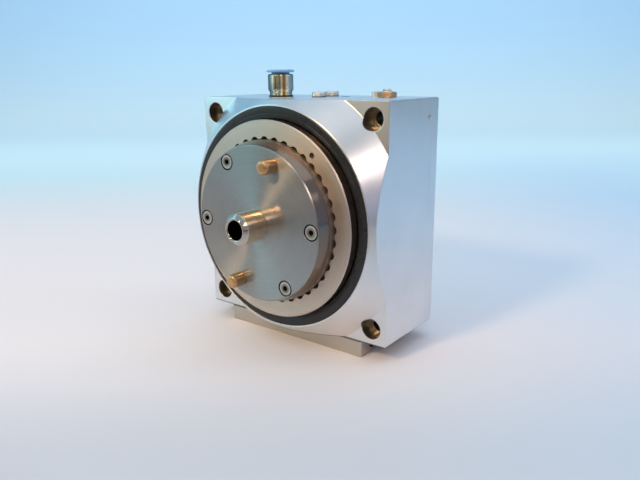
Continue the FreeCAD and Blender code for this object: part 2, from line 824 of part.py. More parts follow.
def wiper_seal():
    """Rubber ring in the rim, with a lip that reaches in to the index ring."""
    lip = "ring_radius + seal_lip_gap"
    lip_top = f"{RIM} - seal_lip_setback"
    seal = turned("seal_ring", [
        ("seal_outer_radius", SEAL_BACK),
        ("seal_outer_radius", f"{RIM} - seal_round"),
        ("seal_outer_radius - seal_round", RIM),
        ("seal_body_radius", RIM),
        (lip, lip_top),
        (lip, f"{lip_top} - seal_lip_thickness"),
        ("seal_body_radius", f"{RIM} - 2 * seal_lip_thickness"),
        ("seal_body_radius", SEAL_BACK),
    ])
    keep(on_axis(seal), "wiper_seal")


def index_ring():
    """Ring clamped on the hub, its bore cut by round setting pockets, with its screws and key pin."""
    blank = on_axis(turned("ring_blank", [
        ("ring_bore_radius", RING_BACK),
        ("ring_radius - ring_chamfer", RING_BACK),
        ("ring_radius", f"{RING_BACK} + ring_chamfer"),
        ("ring_radius", f"{RING_FACE} - ring_chamfer"),
        ("ring_radius - ring_chamfer", RING_FACE),
        ("ring_bore_radius", RING_FACE),
    ]))
    through = f"ring_thickness + 2 * {OVERCUT}"
    back = f"{RING_BACK} - {OVERCUT}"
    pockets = around("pocket_count", POCKET_CIRCLE, back, "pocket_phase")
    tools = drill("ring_pocket", "pocket_radius", through, pockets, FORWARD)
    screw_places = around("ring_screw_count", "ring_screw_circle_radius", RING_BACK)
    tools += drill("ring_thread", "small_screw_radius + thread_clearance", "ring_screw_grip + head_setback",
                   screw_places, FORWARD)
    mark_x, mark_z = polar("mark_hole_circle_radius", "pocket_phase + 360 / pocket_count * 5.5")
    tools.append(rod("mark_hole", "mark_hole_radius", f"mark_hole_depth + {OVERCUT}",
                     mark_x, row_y(f"{RING_FACE} - mark_hole_depth"), mark_z, FORWARD))
    keep(cut("pocket_ring", blank, tools), "index_ring")
    grip = "flange_thickness - small_head_height - head_setback + ring_screw_grip"
    master = cap_screw("ring_screw", "small", grip)
    seat = f"{FLANGE_BACK} + small_head_height + head_setback"
    seat_places = around("ring_screw_count", "ring_screw_circle_radius", seat)
    keep(copies("ring_screw_set", master, seat_places, BACKWARD), "ring_screws")
    key_x, key_z = polar(POCKET_CIRCLE, "pocket_phase + 360 / pocket_count * key_pocket")
    key = rod("key_pin", "pocket_radius - slide_clearance", "ring_thickness - head_setback",
              key_x, row_y(RING_BACK), key_z, FORWARD)
    keep(key, "ring_key_pin")


def turntable_hub():
    """Turned hub: hollow shaft, bearing seat, flange behind the ring and collar under the adapter."""
    groove_floor = "shaft_radius - shaft_clip_depth"
    groove_back = "rear_recess_depth - shaft_clip_thickness"
    blank = on_axis(turned("hub_blank", [
        ("hollow_radius", "shaft_end_setback"),
        ("shaft_radius", "shaft_end_setback"),
        ("shaft_radius", groove_back),
        (groove_floor, groove_back),
        (groove_floor, "rear_recess_depth"),
        ("shaft_radius", "rear_recess_depth"),
        ("shaft_radius", BEARING_BACK),
        ("front_bore_radius", BEARING_BACK),
        ("front_bore_radius", BEARING_FRONT),
        ("shoulder_radius", BEARING_FRONT),
        ("shoulder_radius", FLANGE_BACK),
        ("ring_radius - hole_clearance", FLANGE_BACK),
        ("ring_radius - hole_clearance", RING_BACK),
        (HUB_RADIUS, RING_BACK),
        (HUB_RADIUS, COLLAR_TOP),
        ("spigot_shank_radius + press_clearance", COLLAR_TOP),
        ("spigot_shank_radius + press_clearance", SPIGOT_BACK),
        ("hollow_radius", SPIGOT_BACK),
    ]))
    flange_hole = f"flange_thickness + 2 * {OVERCUT}"
    ring_back_places = around("ring_screw_count", "ring_screw_circle_radius", f"{FLANGE_BACK} - {OVERCUT}")
    tools = drill("flange_hole", "small_screw_radius + hole_clearance", flange_hole, ring_back_places, FORWARD)
    tools += drill("flange_head", "small_head_radius + head_clearance",
                   f"small_head_height + head_setback + {OVERCUT}", ring_back_places, FORWARD)
    thread = "small_screw_radius + thread_clearance"
    tools += drill("adapter_thread", thread, "adapter_screw_length",
                   adapter_screw_places(f"{ADAPTER_FACE} - adapter_screw_length - head_setback"), FORWARD)
    tools += drill("disc_thread", thread, "disc_screw_grip + head_setback",
                   around("disc_screw_count", "disc_screw_circle_radius", BEARING_BACK), FORWARD)
    tools += drill("pin_seat", "pin_shank_radius + press_clearance", f"pin_seat_depth + {OVERCUT}",
                   pin_places(f"{COLLAR_TOP} - pin_seat_depth"), FORWARD)
    key_x, key_z = polar(POCKET_CIRCLE, "pocket_phase + 360 / pocket_count * key_pocket")
    tools.append(rod("key_seat", "pocket_radius", "ring_thickness", key_x, row_y(RING_BACK), key_z, FORWARD))
    keep(cut("hub", blank, tools), "turntable_hub")


def adapter():
    """Tapered adapter plate on the hub's collar, with its countersunk screws, dowel pins and hollow spigot."""
    centre = "spigot_shank_radius + slide_clearance"
    blank = on_axis(turned("adapter_blank", [
        (centre, COLLAR_TOP),
        (HUB_RADIUS, COLLAR_TOP),
        ("adapter_radius", f"{ADAPTER_FACE} - adapter_chamfer"),
        ("adapter_radius - adapter_chamfer", ADAPTER_FACE),
        (centre, ADAPTER_FACE),
    ]))
    back = f"{COLLAR_TOP} - {OVERCUT}"
    through = f"adapter_thickness + 2 * {OVERCUT}"
    tools = drill("adapter_hole", "small_screw_radius + hole_clearance", through,
                  adapter_screw_places(back), FORWARD)
    tools += drill("pin_hole", "pin_shank_radius + press_clearance", through, pin_places(back), FORWARD)
    head_drop = "(countersunk_head_radius - small_screw_radius)"
    for x, y, z in adapter_screw_places(f"{ADAPTER_FACE} - {head_drop} - head_clearance"):
        sink = doc.addObject("Part::Cone", "screw_sink")
        bind(sink, {
            "Radius1": "small_screw_radius",
            "Radius2": "countersunk_head_radius + 2 * head_clearance",
            "Height": f"{head_drop} + 2 * head_clearance",
        })
        tools.append(place(sink, x, y, z, FORWARD))
    keep(cut("adapter_disc", blank, tools), "adapter_plate")
    screw = turned("adapter_screw", [
        ("0", "-adapter_screw_length"),
        ("small_screw_radius", "-adapter_screw_length"),
        ("small_screw_radius", f"-{head_drop}"),
        ("countersunk_head_radius", "0"),
        ("0", "0"),
    ])
    socket(screw, "countersunk_socket_across", "0")
    heads = adapter_screw_places(f"{ADAPTER_FACE} - head_clearance / 2")
    keep(copies("adapter_screw_set", screw, heads, FORWARD), "adapter_screws")
    shank_length = "(pin_seat_depth + adapter_thickness)"
    pin = turned("dowel_pin", [
        ("0", "0"),
        ("pin_shank_radius", "0"),
        ("pin_shank_radius", shank_length),
        ("pin_radius", shank_length),
        ("pin_radius", f"{shank_length} + pin_projection"),
        ("0", f"{shank_length} + pin_projection"),
    ])
    tip = pin.Shape.BoundBox.ZMax
    dress(pin, "Fillet", "pin_round", lambda edge: level_edge(edge, tip))
    keep(copies("dowel_pin_pair", pin, pin_places(f"{COLLAR_TOP} - pin_seat_depth"), FORWARD), "dowel_pins")
    spigot = turned("spigot", [
        ("hollow_radius", SPIGOT_BACK),
        ("spigot_shank_radius", SPIGOT_BACK),
        ("spigot_shank_radius", ADAPTER_FACE),
        ("spigot_radius", ADAPTER_FACE),
        ("spigot_radius", f"{SPIGOT_TIP} - spigot_chamfer"),
        ("spigot_radius - spigot_chamfer", SPIGOT_TIP),
        ("hollow_radius + bore_chamfer", SPIGOT_TIP),
        ("hollow_radius", f"{SPIGOT_TIP} - bore_chamfer"),
    ])
    keep(on_axis(spigot), "centring_spigot")


def ball_bearing(end, sizes):
    """Two grooved rings, a set of balls and their cage, round the turning axis."""
    inner, outer, back, front, circle, station, ball = sizes
    race = f"{ball} + ball_clearance"
    opening = f"({ball} * race_opening_share)"
    for part, seat, side in (("inner", inner, "-"), ("outer", outer, "+")):
        shoulder = f"{circle} {side} {opening} / 2"
        corners = [(seat, front), (seat, back), (shoulder, back)]
        for step in range(-3, 4):
            angle = f"({step} / 3 * acos({opening} / 2 / ({race})))"
            corners.append((f"{circle} {side} ({race}) * cos{angle}", f"{station} + ({race}) * sin{angle}"))
        corners.append((shoulder, front))
        keep(on_axis(turned(f"{end}_{part}_ring", corners)), f"{end}_bearing_{part}_ring")
    spots = around(f"{end}_ball_count", circle, station)
    master = doc.addObject("Part::Sphere", f"{end}_ball")
    bind(master, {"Radius": ball})
    keep(copies(f"{end}_ball_set", master, spots, FORWARD), f"{end}_bearing_balls")
    half_height = f"({ball} + cage_wall)"
    band = on_axis(ring(
        f"{end}_cage_band",
        f"{circle} - {opening} * cage_share / 2",
        f"{circle} + {opening} * cage_share / 2",
        f"{station} - {half_height}",
        f"{station} + {half_height}",
    ))
    hole = radial_hole(band, race, station, f"{circle} + {opening}")
    repeat_round(band, hole, f"{end}_ball_count")
    keep(band, f"{end}_bearing_cage")


def bearings():
    """The two ball bearings, with the clips and washers that hold them."""
    ball_bearing("front", ("front_bore_radius", "front_outer_radius", BEARING_BACK, BEARING_FRONT,
                           FRONT_BALL_CIRCLE, FRONT_BALL_STATION, FRONT_BALL))
    ball_bearing("rear", ("shaft_radius", "rear_outer_radius", "rear_recess_depth", REAR_BEARING_FRONT,
                          REAR_BALL_CIRCLE, REAR_BALL_STATION, REAR_BALL))
    clip_band = on_axis(ring(
        "housing_clip_band",
        "front_outer_radius - front_clip_reach",
        "front_outer_radius + front_clip_depth - press_clearance",
        BEARING_FRONT,
        CLIP_FRONT,
    ))
    shaft_band = on_axis(ring(
        "shaft_clip_band",
        "shaft_radius - shaft_clip_depth + press_clearance",
        "shaft_radius + shaft_clip_width",
        "rear_recess_depth - shaft_clip_thickness",
        "rear_recess_depth",
    ))
    for band, reach, label in (
        (clip_band, "2 * front_outer_radius", "bearing_circlip"),
        (shaft_band, "2 * shaft_radius", "shaft_circlip"),
    ):
        gap = doc.addObject("Part::Box", label + "_gap")
        bind(gap, {"Length": "clip_gap", "Width": f"2 * {RIM}", "Height": reach})
        place(gap, "-clip_gap / 2", row_y(RIM), f"{AXIS} - {reach}", UPWARD)
        keep(cut(label + "_cut", band, [gap]), label)
    bore = "shaft_radius + slide_clearance"
    front_washer = ring("front_washer", bore, CLUTCH_RADIUS + " + gear_hub_wall / 2", FRONT_WASHER_BACK, DISC_BACK)
    rear_washer = ring("rear_washer", bore, f"{REAR_BALL_CIRCLE}", REAR_BEARING_FRONT, REAR_WASHER_FRONT)
    keep(on_axis(front_washer), "front_thrust_washer")
    keep(on_axis(rear_washer), "rear_thrust_washer")


def index_disc():
    """Disc on the hub's back with a notch for each station, and its screws."""
    body = on_axis(ring("disc_blank", "shaft_radius + slide_clearance", "index_disc_radius", DISC_BACK, BEARING_BACK))
    half = "(lock_nose_radius + notch_clearance)"
    notch_floor = "index_disc_radius - notch_depth"
    notch = slot_through(body, "XY_Plane", [
        (half, f"-({notch_floor})"),
        (half, "-2 * index_disc_radius"),
        (f"-{half}", "-2 * index_disc_radius"),
        (f"-{half}", f"-({notch_floor})"),
    ])
    repeat_round(body, notch, "station_count")
    back_places = around("disc_screw_count", "disc_screw_circle_radius", f"{DISC_BACK} - {OVERCUT}")
    head_depth = "(small_head_height + head_setback)"
    tools = drill("disc_hole", "small_screw_radius + hole_clearance",
                  f"index_disc_thickness + 2 * {OVERCUT}", back_places, FORWARD)
    tools += drill("disc_head", "small_head_radius + head_clearance", f"{head_depth} + {OVERCUT}",
                   back_places, FORWARD)
    keep(cut("notched_disc", body, tools), "index_disc")
    master = cap_screw("disc_screw", "small", f"index_disc_thickness - {head_depth} + disc_screw_grip")
    seats = around("disc_screw_count", "disc_screw_circle_radius", f"{DISC_BACK} + {head_depth}")
    keep(copies("disc_screw_set", master, seats, BACKWARD), "index_disc_screws")


def drive_gear():
    """Spur gear that rides on the shaft through a one-way roller clutch."""
    rim_inner = f"({PITCH_RADIUS} - gear_rim)"
    hub_radius = f"({CLUTCH_RADIUS} + gear_hub_wall)"
    body = on_axis(turned("gear_blank", [
        (CLUTCH_RADIUS, GEAR_HUB_BACK),
        (rim_inner, GEAR_HUB_BACK),
        (rim_inner, GEAR_BACK),
        (TIP_RADIUS, GEAR_BACK),
        (TIP_RADIUS, GEAR_FRONT),
        (hub_radius, GEAR_FRONT),
        (hub_radius, GEAR_HUB_FRONT),
        (CLUTCH_RADIUS, GEAR_HUB_FRONT),
    ]))
    gap_angle = "tan(pressure_angle + 90 / gear_teeth)"
    pitch_half = "(pi * gear_module / 4 + gear_backlash / 2)"
    root = f"({PITCH_RADIUS} - 1.25 * gear_module)"
    beyond = f"({TIP_RADIUS} + gear_module)"
    root_half = f"({pitch_half} - {gap_angle} * 1.25 * gear_module)"
    beyond_half = f"({pitch_half} + {gap_angle} * 2 * gear_module)"
    gap = slot_through(body, "XY_Plane", [
        (root, f"-{root_half}"),
        (beyond, f"-{beyond_half}"),
        (beyond, beyond_half),
        (root, root_half),
    ])
    repeat_round(body, gap, "gear_teeth")
    window_circle = f"({rim_inner} + {hub_radius}) / 2"
    windows = drill("gear_window", "gear_window_radius", RIM,
                    around("gear_window_count", window_circle, "0"), FORWARD)
    keep(cut("windowed_gear", body, windows), "drive_gear")
    shell = ring("clutch_tube", f"{CLUTCH_RADIUS} - clutch_wall", CLUTCH_RADIUS,
                 f"{GEAR_HUB_BACK} + clutch_inset", f"{GEAR_HUB_FRONT} - clutch_inset")
    keep(on_axis(shell), "clutch_shell")
    roller_circle = "shaft_radius + clutch_roller_radius + 2 * slide_clearance"
    roller_back = f"{GEAR_HUB_BACK} + clutch_roller_radius"
    roller_length = f"{GEAR_HUB_FRONT} - {GEAR_HUB_BACK} - 2 * clutch_roller_radius"
    rollers = drill("clutch_roller", "clutch_roller_radius", roller_length,
                    around("clutch_roller_count", roller_circle, roller_back), FORWARD)
    keep(compound("clutch_roller_set", rollers), "clutch_rollers")


def rack():
    """Round piston bar with rack teeth on its left side, and its two seals."""
    foot = "(-block_height / 2 + rack_foot_gap)"
    floor = "(rack_radius - rack_seal_depth)"
    low_seal = f"({foot} + rack_seal_inset)"
    high_seal = "(rack_top - rack_top_seal_inset - rack_seal_width)"
    corners = [("0", foot), ("rack_radius", foot)]
    for low in (low_seal, high_seal):
        corners += [
            ("rack_radius", low),
            (floor, low),
            (floor, f"{low} + rack_seal_width"),
            ("rack_radius", f"{low} + rack_seal_width"),
        ]
    corners += [("rack_radius", "rack_top"), ("0", "rack_top")]
    body = turned("rack_bar", corners)
    tip = "-(rack_offset + gear_module)"
    root = "-(rack_offset - 1.25 * gear_module)"
    beyond = "-2 * rack_radius"
    first_gap = f"((rack_gaps_above - rack_gap_count + 0.5) * {RACK_PITCH})"
    flat_low = f"({first_gap} - {RACK_PITCH} / 2)"
    flat_high = f"(rack_gaps_above * {RACK_PITCH})"
    slot_through(body, "XZ_Plane", [(tip, flat_low), (tip, flat_high), (beyond, flat_high), (beyond, flat_low)])
    pitch_half = "(pi * gear_module / 4 + gear_backlash / 2)"
    root_half = f"({pitch_half} - tan(pressure_angle) * 1.25 * gear_module)"
    tip_half = f"({pitch_half} + tan(pressure_angle) * gear_module)"
    gap = slot_through(body, "XZ_Plane", [
        (root, f"{first_gap} - {root_half}"),
        (root, f"{first_gap} + {root_half}"),
        (tip, f"{first_gap} + {tip_half}"),
        (tip, f"{first_gap} - {tip_half}"),
    ])
    pattern = body.newObject("PartDesign::LinearPattern", "rack_teeth")
    pattern.Originals = [gap]
    pattern.Direction = (origin_feature(body, "Z_Axis"), [""])
    bind(pattern, {"Length": f"(rack_gap_count - 1) * {RACK_PITCH}", "Occurrences": "rack_gap_count"})
    body.Tip = pattern
    doc.recompute()
    keep(place(body, RACK_PLACE, row_y("rack_station"), AXIS, UPWARD), "rack_piston")
    seal = ring("rack_seal", f"{floor} + press_clearance", "rack_radius",
                "press_clearance", "rack_seal_width - press_clearance")
    spots = [(RACK_PLACE, row_y("rack_station"), f"{AXIS} + {low}") for low in (low_seal, high_seal)]
    keep(copies("rack_seal_pair", seal, spots, UPWARD), "rack_seals")


def lock():
    """Lock bolt that rises into a notch of the index disc, with its seal, bush and return spring."""
    tip = "(-index_disc_radius - lock_rest_gap)"
    nose_low = f"({tip} - lock_nose_length)"
    foot = "(-block_height / 2 + lock_foot_gap)"
    piston_top = f"({foot} + lock_piston_height)"
    seal_low = f"({foot} + lock_piston_height / 2 - lock_seal_width / 2)"
    seal_high = f"({seal_low} + lock_seal_width)"
    floor = "(lock_piston_radius - lock_seal_depth)"
    spot = ("0", row_y("lock_station"), AXIS, UPWARD)
    bolt = turned("bolt", [
        ("0", foot),
        ("lock_piston_radius", foot),
        ("lock_piston_radius", seal_low),
        (floor, seal_low),
        (floor, seal_high),
        ("lock_piston_radius", seal_high),
        ("lock_piston_radius", piston_top),
        ("lock_stem_radius", piston_top),
        ("lock_stem_radius", nose_low),
        ("lock_nose_radius", nose_low),
        ("lock_nose_radius", f"{tip} - lock_nose_chamfer"),
        ("lock_nose_radius - lock_nose_chamfer", tip),
        ("0", tip),
    ])
    keep(place(bolt, *spot), "lock_bolt")
    seal = ring("bolt_seal", f"{floor} + press_clearance", "lock_piston_radius",
                f"{seal_low} + press_clearance", f"{seal_high} - press_clearance")
    keep(place(seal, *spot), "lock_bolt_seal")
    bush_inner = "lock_stem_radius + slide_clearance"
    bush = ring("bush", bush_inner, f"{bush_inner} + bush_wall", f"-{BUSH_BACK}", f"-{BUSH_TOP}")
    keep(place(bush, *spot), "lock_guide_bush")
    helix = doc.addObject("Part::Helix", "spring_line")
    room = f"(-{BUSH_BACK} - {piston_top} - 2 * spring_wire_radius - 2 * press_clearance)"
    bind(helix, {
        "Radius": "spring_coil_radius",
        "Height": room,
        "Pitch": f"{room} / spring_turns",
    })
    wire = doc.addObject("Part::RegularPolygon", "spring_wire")
    wire.Polygon = 8
    bind(wire, {"Circumradius": "spring_wire_radius"})
    place(wire, "spring_coil_radius", "0", "0", FORWARD)
    spring = doc.addObject("Part::Sweep", "spring")
    spring.Sections = [wire]
    spring.Spine = (helix, ["Edge1"])
    spring.Solid = True
    spring.Frenet = True
    spring_low = f"{AXIS} + {piston_top} + spring_wire_radius + press_clearance"
    keep(place(spring, "0", row_y("lock_station"), spring_low, UPWARD), "lock_spring")


def push_in_fitting():
    """Tube fitting on the top face: body, washer, inner seal, grip ring and release collar."""
    spot = ("fitting_place", row_y("fitting_station"), TOP, UPWARD)
    neck_top = "(fitting_washer_height + fitting_neck_height)"
    top = f"({neck_top} + fitting_body_height)"
    cavity_floor = f"({top} - fitting_cavity_depth)"
    socket_floor = f"({cavity_floor} - tube_socket_depth)"
    body = turned("fitting", [
        ("fitting_way_radius", "-fitting_thread_length"),
        ("fitting_thread_radius", "-fitting_thread_length"),
        ("fitting_thread_radius", "fitting_washer_height"),
        ("fitting_neck_radius", "fitting_washer_height"),
        ("fitting_neck_radius", neck_top),
        ("fitting_body_radius - fitting_chamfer", neck_top),
        ("fitting_body_radius", f"{neck_top} + fitting_chamfer"),
        ("fitting_body_radius", f"{top} - fitting_chamfer"),
        ("fitting_body_radius - fitting_chamfer", top),
        ("fitting_cavity_radius", top),
        ("fitting_cavity_radius", cavity_floor),
        ("tube_radius", cavity_floor),
        ("tube_radius", socket_floor),
        ("fitting_way_radius", socket_floor),
    ])
    keep(place(body, *spot), "fitting_body")
    washer = ring("fitting_washer", "fitting_thread_radius + thread_clearance", "fitting_washer_radius",
                  "0", "fitting_washer_height")
    keep(place(washer, *spot), "fitting_seal")
    inner = "tube_radius + slide_clearance"
    outer = "fitting_cavity_radius - press_clearance"
    seal_top = f"({cavity_floor} + tube_seal_height)"
    keep(place(ring("socket_seal", inner, outer, cavity_floor, seal_top), *spot), "tube_seal")
    grip_low = f"({seal_top} + grip_ring_gap)"
    grip = ring("grip", inner, outer, grip_low, f"{grip_low} + grip_ring_height")
    keep(place(grip, *spot), "tube_grip_ring")
    flange_low = f"({top} + collar_gap)"
    collar = turned("collar", [
        (f"{inner} + slide_clearance", f"{flange_low} - collar_skirt_length"),
        ("collar_skirt_radius", f"{flange_low} - collar_skirt_length"),
        ("collar_skirt_radius", flange_low),
        ("collar_radius", flange_low),
        ("collar_radius", f"{flange_low} + collar_flange_height - fitting_chamfer"),
        ("collar_radius - fitting_chamfer", f"{flange_low} + collar_flange_height"),
        (f"{inner} + slide_clearance", f"{flange_low} + collar_flange_height"),
    ])
    keep(place(collar, *spot), "release_collar")


def top_face_screws():
    """Channel plugs with seals, throttle screw, stop screw and its lock nut on the top face."""
    head_low = "plug_seal_height"
    head_top = "(plug_seal_height + plug_head_height)"
    plug = turned("plug", [
        ("0", "-plug_thread_length + head_setback"),
        ("plug_thread_radius", "-plug_thread_length + head_setback"),
        ("plug_thread_radius", head_low),
        ("plug_head_radius", head_low),
        ("plug_head_radius", f"{head_top} - plug_chamfer"),
        ("plug_head_radius - plug_chamfer", head_top),
        ("0", head_top),
    ])
    socket(plug, "small_socket_across", head_top)
    keep(copies("plug_pair", plug, plug_places(TOP), UPWARD), "channel_plugs")
    seal = ring("plug_washer", "plug_thread_radius + thread_clearance + press_clearance",
                "plug_head_radius - press_clearance", "0", "plug_seal_height")
    keep(copies("plug_washer_pair", seal, plug_places(TOP), UPWARD), "plug_seals")
    throttle = turned("throttle", [
        ("0", "-throttle_length + head_setback"),
        ("throttle_radius", "-throttle_length + head_setback"),
        ("throttle_radius", "throttle_proud"),
        ("0", "throttle_proud"),
    ])
    pocket(throttle, square("throttle_radius", "throttle_slot_width / 2"), "throttle_proud", "throttle_slot_depth")
    keep(place(throttle, "throttle_place", row_y("throttle_station"), TOP, UPWARD), "throttle_screw")
    rack_spot = (RACK_PLACE, row_y("rack_station"))
    stop_tip = f"(rack_top + {RACK_STROKE} + stop_end_gap - block_height / 2)"
    stop = turned("stop", [
        ("0", stop_tip),
        ("stop_radius", stop_tip),
        ("stop_radius", "stop_proud"),
        ("0", "stop_proud"),
    ])
    socket(stop, "countersunk_socket_across", "stop_proud")
    keep(place(stop, *rack_spot, TOP, UPWARD), "stop_screw")
    nut = new_body("nut")
    pad(nut, hexagon("nut_across"), "0", "nut_height")
    corner = "nut_across / sqrt(3)"
    revolve(nut, [
        ("nut_across / 2", f"nut_height + {OVERCUT}"),
        ("nut_across / 2", "nut_height"),
        (f"{corner} + nut_corner_drop", "nut_height - nut_corner_drop"),
        (f"{corner} + nut_corner_drop", f"nut_height + {OVERCUT}"),
    ], "Groove")
    hole = "stop_radius + slide_clearance"
    revolve(nut, [("0", f"-{OVERCUT}"), (hole, f"-{OVERCUT}"), (hole, f"nut_height + {OVERCUT}"),
                  ("0", f"nut_height + {OVERCUT}")], "Groove")
    keep(place(nut, *rack_spot, TOP, UPWARD), "stop_lock_nut")


def side_set_screw():
    """Small set screw sunk in the right side of the housing."""
    screw = turned("set_screw", [
        ("0", "0"),
        ("side_screw_radius", "0"),
        ("side_screw_radius", "side_screw_length"),
        ("0", "side_screw_length"),
    ])
    socket(screw, "side_screw_radius", "side_screw_length")
    x = "block_width / 2 - side_screw_length - side_screw_setback"
    y = row_y("side_screw_station")
    keep(place(screw, x, y, f"{AXIS} + side_screw_height", RIGHTWARD), "side_set_screw")


def build():
    """Build every sub-part."""
    for make in (
        housing,
        rear_cover,
        foot,
        wiper_seal,
        index_ring,
        turntable_hub,
        adapter,
        bearings,
        index_disc,
        drive_gear,
        rack,
        lock,
        push_in_fitting,
        top_face_screws,
        side_set_screw,
    ):
        make()
    doc.recompute()


def check():
    """Stop if any object failed or any sub-part has no sound shape."""
    for thing in doc.Objects:
        if "Invalid" in thing.State or "Error" in thing.State:
            raise RuntimeError(f"{thing.Name} failed: {thing.State}")
    for part in subparts:
        if part.Shape.isNull() or not part.Shape.isValid() or not part.Shape.Solids:
            raise RuntimeError(f"{part.Label} has no sound shape")


def write():
    """Write each sub-part to its own file."""
    os.makedirs("parts", exist_ok=True)
    for part in subparts:
        part.Shape.exportStep(f"parts/{part.Label}.step")
        print(f"{part.Label}: {len(part.Shape.Solids)} solids, {part.Shape.Volume:.1f} mm3")


build()
check()
write()
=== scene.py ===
import math

import bpy
import numpy as np
from bpy.props import FloatProperty, FloatVectorProperty, IntProperty, PointerProperty
from bpy.types import NodeSocket, Operator, Panel, PropertyGroup
from mathutils import Matrix, Vector


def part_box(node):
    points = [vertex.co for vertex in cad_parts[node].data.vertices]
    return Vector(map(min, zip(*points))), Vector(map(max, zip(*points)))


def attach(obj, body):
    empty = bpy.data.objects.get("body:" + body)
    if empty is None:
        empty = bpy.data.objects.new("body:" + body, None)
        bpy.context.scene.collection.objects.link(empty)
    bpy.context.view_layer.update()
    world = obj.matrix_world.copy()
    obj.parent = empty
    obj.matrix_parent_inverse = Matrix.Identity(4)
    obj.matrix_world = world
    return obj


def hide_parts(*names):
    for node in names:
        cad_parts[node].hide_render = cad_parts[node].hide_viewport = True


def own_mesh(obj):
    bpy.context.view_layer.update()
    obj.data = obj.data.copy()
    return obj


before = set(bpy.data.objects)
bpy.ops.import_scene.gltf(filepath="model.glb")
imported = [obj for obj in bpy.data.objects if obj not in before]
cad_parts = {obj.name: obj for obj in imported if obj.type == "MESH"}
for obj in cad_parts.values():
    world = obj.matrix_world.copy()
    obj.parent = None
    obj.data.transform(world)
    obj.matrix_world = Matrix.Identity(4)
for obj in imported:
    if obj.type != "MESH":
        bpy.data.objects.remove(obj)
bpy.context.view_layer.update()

bl_info = {
    "name": "Rotary indexing table finish",
    "version": (1, 0, 0),
    "blender": (4, 5, 0),
    "location": "3D View > Sidebar > Indexing table",
    "description": "Finishes the pieces of a pneumatic rotary indexing table and lights them",
    "category": "Object",
}


def box(node):
    """Low and high corner of a node's box."""
    return [np.array(corner, dtype=float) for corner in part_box(node)]


# Places in the part's frame, in metres and degrees

AXIS_HEIGHT = float(sum(box("adapter_plate"))[2] / 2)
FOOT_TOP = float(box("housing")[0][2])
TOP_FACE = float(box("housing")[1][2])
ADAPTER_FACE = float(box("adapter_plate")[0][1])
AXIS = (0.0, 0.0, AXIS_HEIGHT)
ADAPTER_MIDDLE = (0.0, ADAPTER_FACE, AXIS_HEIGHT)
TOP_PORT = (0.0112, 0.0070)
CORNER_HOLE = 0.043
SUNK_CIRCLE = 0.029
SUNK_ANGLES = (1.5, 121.5, 181.5, 301.5)
PIN_ANGLES = (68.5, 248.5)

# Turns of a piece: the columns are its own x, y and z in the part's frame

FORWARD = np.array([[1.0, 0.0, 0.0], [0.0, 0.0, -1.0], [0.0, 1.0, 0.0]])
UPWARD = np.eye(3)
RIGHTWARD = np.array([[0.0, 0.0, 1.0], [1.0, 0.0, 0.0], [0.0, 1.0, 0.0]])

# Small lengths that the profiles share

HAIR = 0.0001
SEAT_GAP = 0.00002
CRISP_EDGE = 0.00015
SOFT_EDGE = 0.00025
PIN_EDGE = 0.0005

# Columns round the turned pieces

SEAL_COLUMNS = 192
NUT_COLUMNS = 120
PIN_COLUMNS = 64
SCREW_COLUMNS = 60
SET_SCREW_COLUMNS = 48

# Where each mask of a finish, of painted shade or of painted reflection, starts and ends

HOLE_DEPTH = (0.00006, 0.00012)
PLATE_CHAMFER = (0.0321, 0.0322)
PLATE_WALL = (0.0326, 0.0327)
PLATE_EDGE = (0.0003, 0.0005)
RING_WALL = (0.0421, 0.04217)
SPIGOT_TIP = (0.0013, 0.0015)
SPIGOT_BORE = (0.00404, 0.0042)
SUNK_EDGE = (0.00013, 0.00024)
SUNK_MIDDLE = (0.0018, 0.0021)
CORNER_WALL = (0.00455, 0.0046)
CORNER_DEPTH = (-0.0235, -0.0145)
PORT_WALL = (0.0022, 0.0024)
PORT_DEPTH = (-0.0100, -0.0095)
CONE_FOOT = (-0.0204, -0.0201)
FOOT_JOINT = (0.0002, 0.0006)

# Tones of painted shade: in holes, bores and sockets, in the top port and along the joint over the
# foot

RECESS_SHADE_TONE = (0.020, 0.016, 0.012)
CORNER_HOLE_SHADE_TONE = (0.34, 0.29, 0.22)
PORT_SHADE_TONE = (0.03, 0.035, 0.04)
JOINT_SHADE_TONE = (0.06, 0.05, 0.04)

# Floor and backdrop as seen from the camera: distances behind and heights over the origin

SWEEP_ARC = 0.6
SWEEP_START = 0.9
SWEEP_FRONT = (-3.0, -1.0, 0.0)
SWEEP_TOPS = (1.4, 3.0)
SWEEP_HALF_WIDTH = 4.0

# Where the tones of the floor change, and the room's upper tone starts as a share of the way up

FLOOR_SPAN = (-0.2, 1.5)
RIGHT_SIDE, RIGHT_END = (0.02, 0.30), (0.30, 0.75)
FRONT_SIDE, FRONT_START = (-0.45, -0.14), (-0.2, 0.1)
LEFT_SIDE, LEFT_END = (-0.5, -0.3), (-0.4, -0.15)
BEHIND_CAMERA = (-0.28, -0.14)
ROOM_ABOVE = (0.35, 0.9)

# Camera: angles in degrees, place in metres, sensor in millimetres

CAMERA_AZIMUTH = 37.526
CAMERA_ELEVATION = 15.087
CAMERA_ROLL = -0.583
CAMERA_PLACE = (0.1729, -0.22333, 0.11795)
SENSOR_WIDTH = 36.0

# Lights: name, place, width and height, power setting, colour and target

